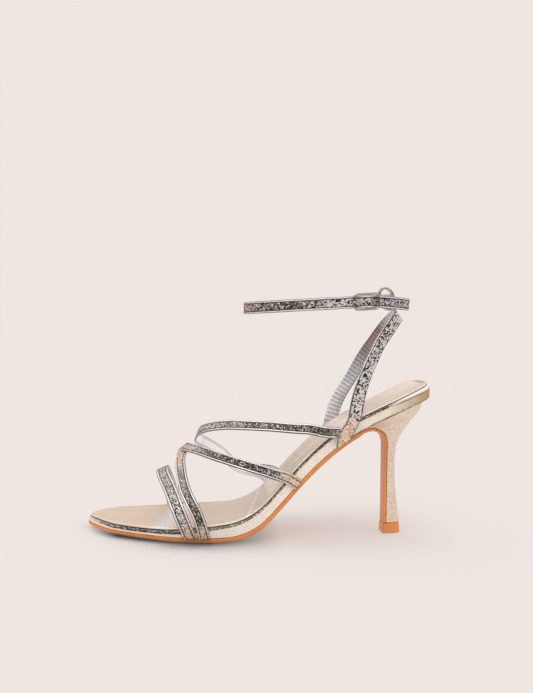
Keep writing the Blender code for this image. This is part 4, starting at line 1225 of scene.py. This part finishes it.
# Tones of the foils: place on the ramp and colour
GOLD_STOPS = ((0.0, (0.64, 0.48, 0.35)), (0.2, (0.89, 0.74, 0.60)), (0.8, (0.97, 0.85, 0.72)),
              (1.0, (1.0, 0.97, 0.90)))
LIGHT_STOPS = ((0.0, (0.012, 0.010, 0.010)), (0.28, (0.06, 0.048, 0.042)),
               (0.40, (0.74, 0.66, 0.61)), (0.60, (1.0, 0.98, 0.98)))
DARK_STOPS = ((0.0, (0.007, 0.005, 0.004)), (0.5, (0.07, 0.050, 0.036)),
              (0.8, (0.26, 0.205, 0.165)), (1.0, (0.9, 0.86, 0.83)))
TAN_STOPS = ((0.0, (0.45, 0.29, 0.18)), (0.5, (0.84, 0.63, 0.47)), (1.0, (1.0, 0.88, 0.74)))
RIB_STOPS = ((0.0, (0.72, 0.69, 0.69)), (0.3, (0.94, 0.93, 0.94)), (1.0, (1.0, 1.0, 1.0)))
LINING_COLOR = (0.90, 0.91, 0.95)
LINING_BROWN = (0.30, 0.18, 0.10)
LINING_FROM = 1.4         # place across a band's map where its lining begins
GOLD_SIZE = 0.00060       # spacing of the gold leather's crinkles
CELL_DRIFT = 0.0004       # how far noise bends the crinkles


def lining_color(tree, place_on, over, tone, pleats):
    """Colour of a strap's lining: painted shade of gathered pleats and a painted shade line near each
    edge where it folds, browned by the band's painted darkness.
    """
    # The lining browns with the band's painted darkness.
    inside = mixed(tree, tone, LINING_COLOR, LINING_BROWN)
    pleat = node(tree, "ShaderNodeTexWave", wave_type="BANDS", bands_direction="X",
                 in_Vector=place_on, in_Scale=130.0, in_Distortion=4.0).outputs["Fac"]
    depth = ranged(tree, noise(tree, place_on, 160.0), 0.42, 0.62, 0.12, 1.0)
    # Painted shade in the pleats' creases.
    pleat_shade = times(tree, ranged(tree, pleat, 0.25, 0.6, pleats, 0.0), depth)
    inside = mixed(tree, pleat_shade, inside, (0.06, 0.05, 0.045))
    # Painted shade along the folds near each edge.
    inner = math_node(tree, "ABSOLUTE", math_node(tree, "SUBTRACT", over, 2.0))
    painted_fold_shade = math_node(tree, "MAXIMUM", between(tree, inner, 0.28, 0.35, 0.012),
                     math_node(tree, "GREATER_THAN", inner, 0.44))
    painted_fold_shade = times(tree, painted_fold_shade, 0.55 - 0.4 * pleats)
    return mixed(tree, painted_fold_shade, inside, (0.10, 0.09, 0.10))


def silver_foil(name, band, size, pleats=0.0):
    """Crinkled silver leather: a darker band between two bright folded edges.

    band is half the dark part's width as a share of the strap's, and size is
    the crinkles' spacing. pleats is how strongly the lining's pleats are painted as shade.
    """
    made, tree, shader = start_material(name)
    crackle = use_crackle(tree, size)
    shade = crackle["Shade"]
    place_on = map_place(tree, "UVMap")
    tones = axes_of(tree, map_place(tree, "Tone"))
    over = math_node(tree, "ABSOLUTE", axes_of(tree, place_on)["Y"])
    lining = math_node(tree, "GREATER_THAN", over, LINING_FROM)
    rim = math_node(tree, "GREATER_THAN", over, band + 0.05)
    rim = times(tree, rim, math_node(tree, "LESS_THAN", over, 0.55))
    line = between(tree, over, band, band + 0.085, 0.012)
    side = between(tree, over, 0.435, LINING_FROM, 0.015)
    # Painted shade and dark reflection: the centre turns darker where the band's tone says so.
    color = mixed(tree, tones["X"], ramp(tree, shade, LIGHT_STOPS), ramp(tree, shade, DARK_STOPS))
    color = mixed(tree, rim, color, ramp(tree, shade, RIB_STOPS))
    # Painted warm reflection: gold mixed in by the band's tone.
    color = mixed(tree, tones["Y"], color, ramp(tree, shade, TAN_STOPS))
    inside = lining_color(tree, place_on, over, tones["X"], pleats)
    color = mixed(tree, lining, color, inside)
    color = mixed(tree, times(tree, line, 0.92), color, (0.022, 0.02, 0.024))
    edge = math_node(tree, "MULTIPLY_ADD", tones["Y"], -0.6, 0.8)
    color = mixed(tree, times(tree, side, edge), color, (0.06, 0.05, 0.055))
    even = math_node(tree, "MULTIPLY_ADD", math_node(tree, "MAXIMUM", rim, lining), -0.85, 1.0)
    even = times(tree, crackle["Height"], even)
    finish_look(tree, shader, color, math_node(tree, "MULTIPLY_ADD", lining, 0.15, 0.7),
                math_node(tree, "MULTIPLY_ADD", shade, 0.16, 0.20), (0.6, 0.00014, even))
    # Painted glow: the lining lights itself a little, more where the band's painted darkness is low,
    # so its far legs read bright.
    painted_glow = times(tree, lining, math_node(tree, "SUBTRACT", 1.0, tones["X"]))
    painted_glow = mixed(tree, times(tree, painted_glow, 0.2), (0.0, 0.0, 0.0), (0.85, 0.95, 1.0))
    feed(tree, shader.inputs["Emission Color"], mixed(tree, 1.0, color, painted_glow, "MULTIPLY"))
    feed(tree, shader.inputs["Emission Strength"], 1.0)
    return made


def gold_foil(name="gold_foil_look", rim=False):
    """Pale gold crackle leather of the heel; with rim, the board's, with painted dark reflection and
    shade on its rolled rim and painted shade at the seat's back.
    """
    made, tree, shader = start_material(name)
    crackle = use_crackle(tree, GOLD_SIZE)
    shade = crackle["Shade"]
    color = ramp(tree, shade, GOLD_STOPS)
    specks = times(tree, crackle["Wall"], 0.08 if rim else 0.25)
    color = mixed(tree, specks, color, (0.34, 0.26, 0.20))
    if rim:
        tones = axes_of(tree, map_place(tree, "Tone"))
        # Painted dark reflection and shade on the rolled rim, then its white bevel.
        color = mixed(tree, tones["X"], color, ramp(tree, shade, DARK_STOPS))
        color = mixed(tree, tones["Y"], color, (0.97, 0.95, 0.93))
        # Painted shade at the seat's back, where the board's side turns away: darkened towards brown.
        back = ranged(tree, axes_of(tree, own_place(tree))["X"], 0.104, 0.124, 0.0, 0.85)
        back = times(tree, back, math_node(tree, "SUBTRACT", 1.0, tones["Y"]))
        color = mixed(tree, back, color, (0.40, 0.24, 0.10))
    finish_look(tree, shader, color, 0.1 if rim else 0.38, 0.38, (0.35, 0.0001, crackle["Height"]))
    return made


def pearl():
    """Smooth pearly insole leather: a stitched line inside its edge, and painted reflections as a
    soft bright band and a thin bright line across it.
    """
    made, tree, shader = start_material("insole_look")
    place_in = own_place(tree)
    tones = axes_of(tree, map_place(tree, "Tone"))
    split = axes_of(tree, place_in)
    long_way = node(tree, "ShaderNodeVectorMath", operation="MULTIPLY", in_0=place_in,
                    in_1=(0.12, 1.0, 0.12)).outputs[0]
    cloud = noise(tree, long_way, 220.0, 3.0)
    color = ramp(tree, cloud, ((0.3, (0.82, 0.635, 0.495)), (0.7, (0.89, 0.71, 0.57))))
    streak = ramp(tree, cloud, ((0.35, (0.60, 0.46, 0.36)), (0.6, (0.94, 0.78, 0.66))))
    waist = between(tree, tones["Y"], 0.52, 0.98, 0.03)
    color = mixed(tree, times(tree, waist, 0.6), color, streak)
    color = mixed(tree, ranged(tree, tones["Y"], 0.3, 0.55, 0.0, 0.4), color, (1.0, 0.90, 0.82))
    # Painted reflections on the insole: a soft bright band and a thin bright line, slanted across it.
    lean = math_node(tree, "MULTIPLY_ADD", split["Y"], -0.17, split["X"])
    painted_sheen = between(tree, lean, -0.023, -0.011, 0.004)
    painted_glint = between(tree, lean, 0.0300, 0.0316, 0.0006)
    painted_sheen = math_node(tree, "MAXIMUM", times(tree, painted_sheen, 0.85), painted_glint)
    color = mixed(tree, painted_sheen, color, (0.98, 0.96, 0.97))
    seam = between(tree, tones["X"], 0.0030, 0.0034, 0.0002)
    color = mixed(tree, times(tree, seam, 0.35), color, (0.35, 0.26, 0.20))
    finish_look(tree, shader, color, 0.2, 0.32, (0.15, 0.00005, noise(tree, place_in, 2600.0)))
    return made


def tan_leather():
    """Orange tan sole leather."""
    made, tree, shader = start_material("tan_look")
    cloud = noise(tree, own_place(tree), 120.0, 4.0)
    color = ramp(tree, cloud, ((0.3, (0.72, 0.25, 0.058)), (0.7, (0.82, 0.30, 0.082))))
    finish_look(tree, shader, color, 0.0, 0.38)
    return made


def plain_look(name, color, metal, rough):
    """A material of one even colour."""
    made, tree, shader = start_material(name)
    finish_look(tree, shader, color, metal, rough)
    return made


def add_sky():
    """Studio sky: it lights and mirrors softly, and the camera sees the even backdrop."""
    world = bpy.data.worlds.new("studio")
    bpy.context.scene.world = world
    world.use_nodes = True
    tree = world.node_tree
    tree.nodes.clear()
    upward = axes_of(tree, node(tree, "ShaderNodeTexCoord").outputs["Generated"])["Z"]
    path = node(tree, "ShaderNodeLightPath").outputs
    sky = ramp(tree, upward, SKY_STOPS)
    seen = mixed(tree, path["Is Glossy Ray"], sky, ramp(tree, upward, GLOW_STOPS))
    lit = node(tree, "ShaderNodeBackground", in_Color=seen, in_Strength=SKY)
    plain = node(tree, "ShaderNodeBackground", in_Color=BACKDROP, in_Strength=1.0)
    both = node(tree, "ShaderNodeMixShader", in_0=path["Is Camera Ray"], in_1=lit.outputs[0],
                in_2=plain.outputs[0])
    node(tree, "ShaderNodeOutputWorld", in_Surface=both.outputs[0])


def floor_look():
    """Pale floor that partly glows, with a painted contact shadow under the sole, clear far out."""
    made, tree, shader = start_material("floor_look")
    place_in = own_place(tree)
    away = node(tree, "ShaderNodeVectorMath", operation="LENGTH", in_0=place_in).outputs["Value"]
    # Painted contact shadow: occlusion darkens both the floor's colour and its glow, kept under the
    # forefoot and faded at the toe tip and towards the heel.
    near = node(tree, "ShaderNodeAmbientOcclusion", samples=16, in_Distance=0.085).outputs["AO"]
    painted_shadow = ramp(tree, near, CONTACT_SHADOW_STOPS)
    along = axes_of(tree, place_in)["X"]
    back = ranged(tree, along, 0.004, 0.046, 1.0, 0.12)
    tip = ranged(tree, along, -0.066, -0.048, 0.06)
    painted_shadow = mixed(tree, times(tree, back, tip), (1.0, 1.0, 1.0), painted_shadow)
    given = tuple(value * (1 - FLOOR_GLOW) for value in FLOOR_COLOR)
    own = tuple(value * FLOOR_GLOW for value in BACKDROP)
    finish_look(tree, shader, mixed(tree, 1.0, given, painted_shadow, "MULTIPLY"), 0.0, 1.0)
    feed(tree, shader.inputs["Specular IOR Level"], 0.0)
    feed(tree, shader.inputs["Alpha"], ranged(tree, away, 0.5, 1.4, 1.0, 0.0))
    feed(tree, shader.inputs["Emission Color"], mixed(tree, 1.0, own, painted_shadow, "MULTIPLY"))
    feed(tree, shader.inputs["Emission Strength"], 1.0)
    return made


def add_studio():
    """Seamless pale floor, the sky and one soft key light."""
    add_sky()
    turn = np.linspace(0, 2 * pi, 97)[:-1]
    mesh = bpy.data.meshes.new("floor")
    mesh.from_pydata([(4 * cos(a), 4 * sin(a), 0) for a in turn], [], [tuple(range(96))])
    mesh.materials.append(floor_look())
    floor = bpy.data.objects.new("floor", mesh)
    bpy.context.scene.collection.objects.link(floor)
    data = bpy.data.lights.new("key", "SUN")
    data.energy = KEY
    data.angle = radians(28)
    key = bpy.data.objects.new("key", data)
    bpy.context.scene.collection.objects.link(key)
    key.rotation_euler = Vector((-0.10, -0.65, 1.0)).to_track_quat("Z", "Y").to_euler()
    bpy.context.scene.view_settings.view_transform = "Standard"


def add_camera():
    """The photo's viewpoint, low in front of the buckle side."""
    turn = radians(CAMERA_TURN)
    aim = radians(CAMERA_TURN + CAMERA_YAW)
    tilt = radians(CAMERA_TILT)
    roll = radians(CAMERA_ROLL)
    ahead = Vector((sin(aim) * cos(tilt), cos(aim) * cos(tilt), -sin(tilt)))
    flat = Vector((cos(aim), -sin(aim), 0))
    upright = flat.cross(ahead)
    right = flat * cos(roll) + upright * sin(roll)
    up = upright * cos(roll) - flat * sin(roll)
    eye = Vector((CAMERA_CENTRE - sin(turn) * CAMERA_AWAY, -cos(turn) * CAMERA_AWAY, CAMERA_HEIGHT))
    data = bpy.data.cameras.new("camera")
    data.sensor_width = 36.0
    data.lens = CAMERA_LENS
    data.clip_start = 0.01
    data.clip_end = 50.0
    made = bpy.data.objects.new("camera", data)
    made.matrix_world = axes_matrix(right, up, -ahead, eye)
    bpy.context.scene.collection.objects.link(made)
    bpy.context.scene.camera = made


def main():
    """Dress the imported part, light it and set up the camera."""
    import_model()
    crackle_group()
    gold = gold_foil()
    sole = tan_leather()
    skin = build_board(gold_foil("board_foil_look", True))
    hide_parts("insole_board")
    build_board_faces(gold, plain_look("underside_look", (0.35, 0.25, 0.17), 0.0, 0.7))
    sock = build_sock(pearl())
    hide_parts("sock")
    build_outsole(sole)
    build_heel(gold)
    build_top_piece(sole)
    build_straps(silver_foil("silver_foil_look", 0.25, 0.00055))
    build_sling(silver_foil("sling_foil_look", 0.40, 0.00085, 0.9))
    build_ankle(silver_foil("ankle_foil_look", 0.28, 0.00085),
                plain_look("nickel_look", (0.50, 0.45, 0.41), 1.0, 0.12))
    add_studio()
    add_camera()


main()
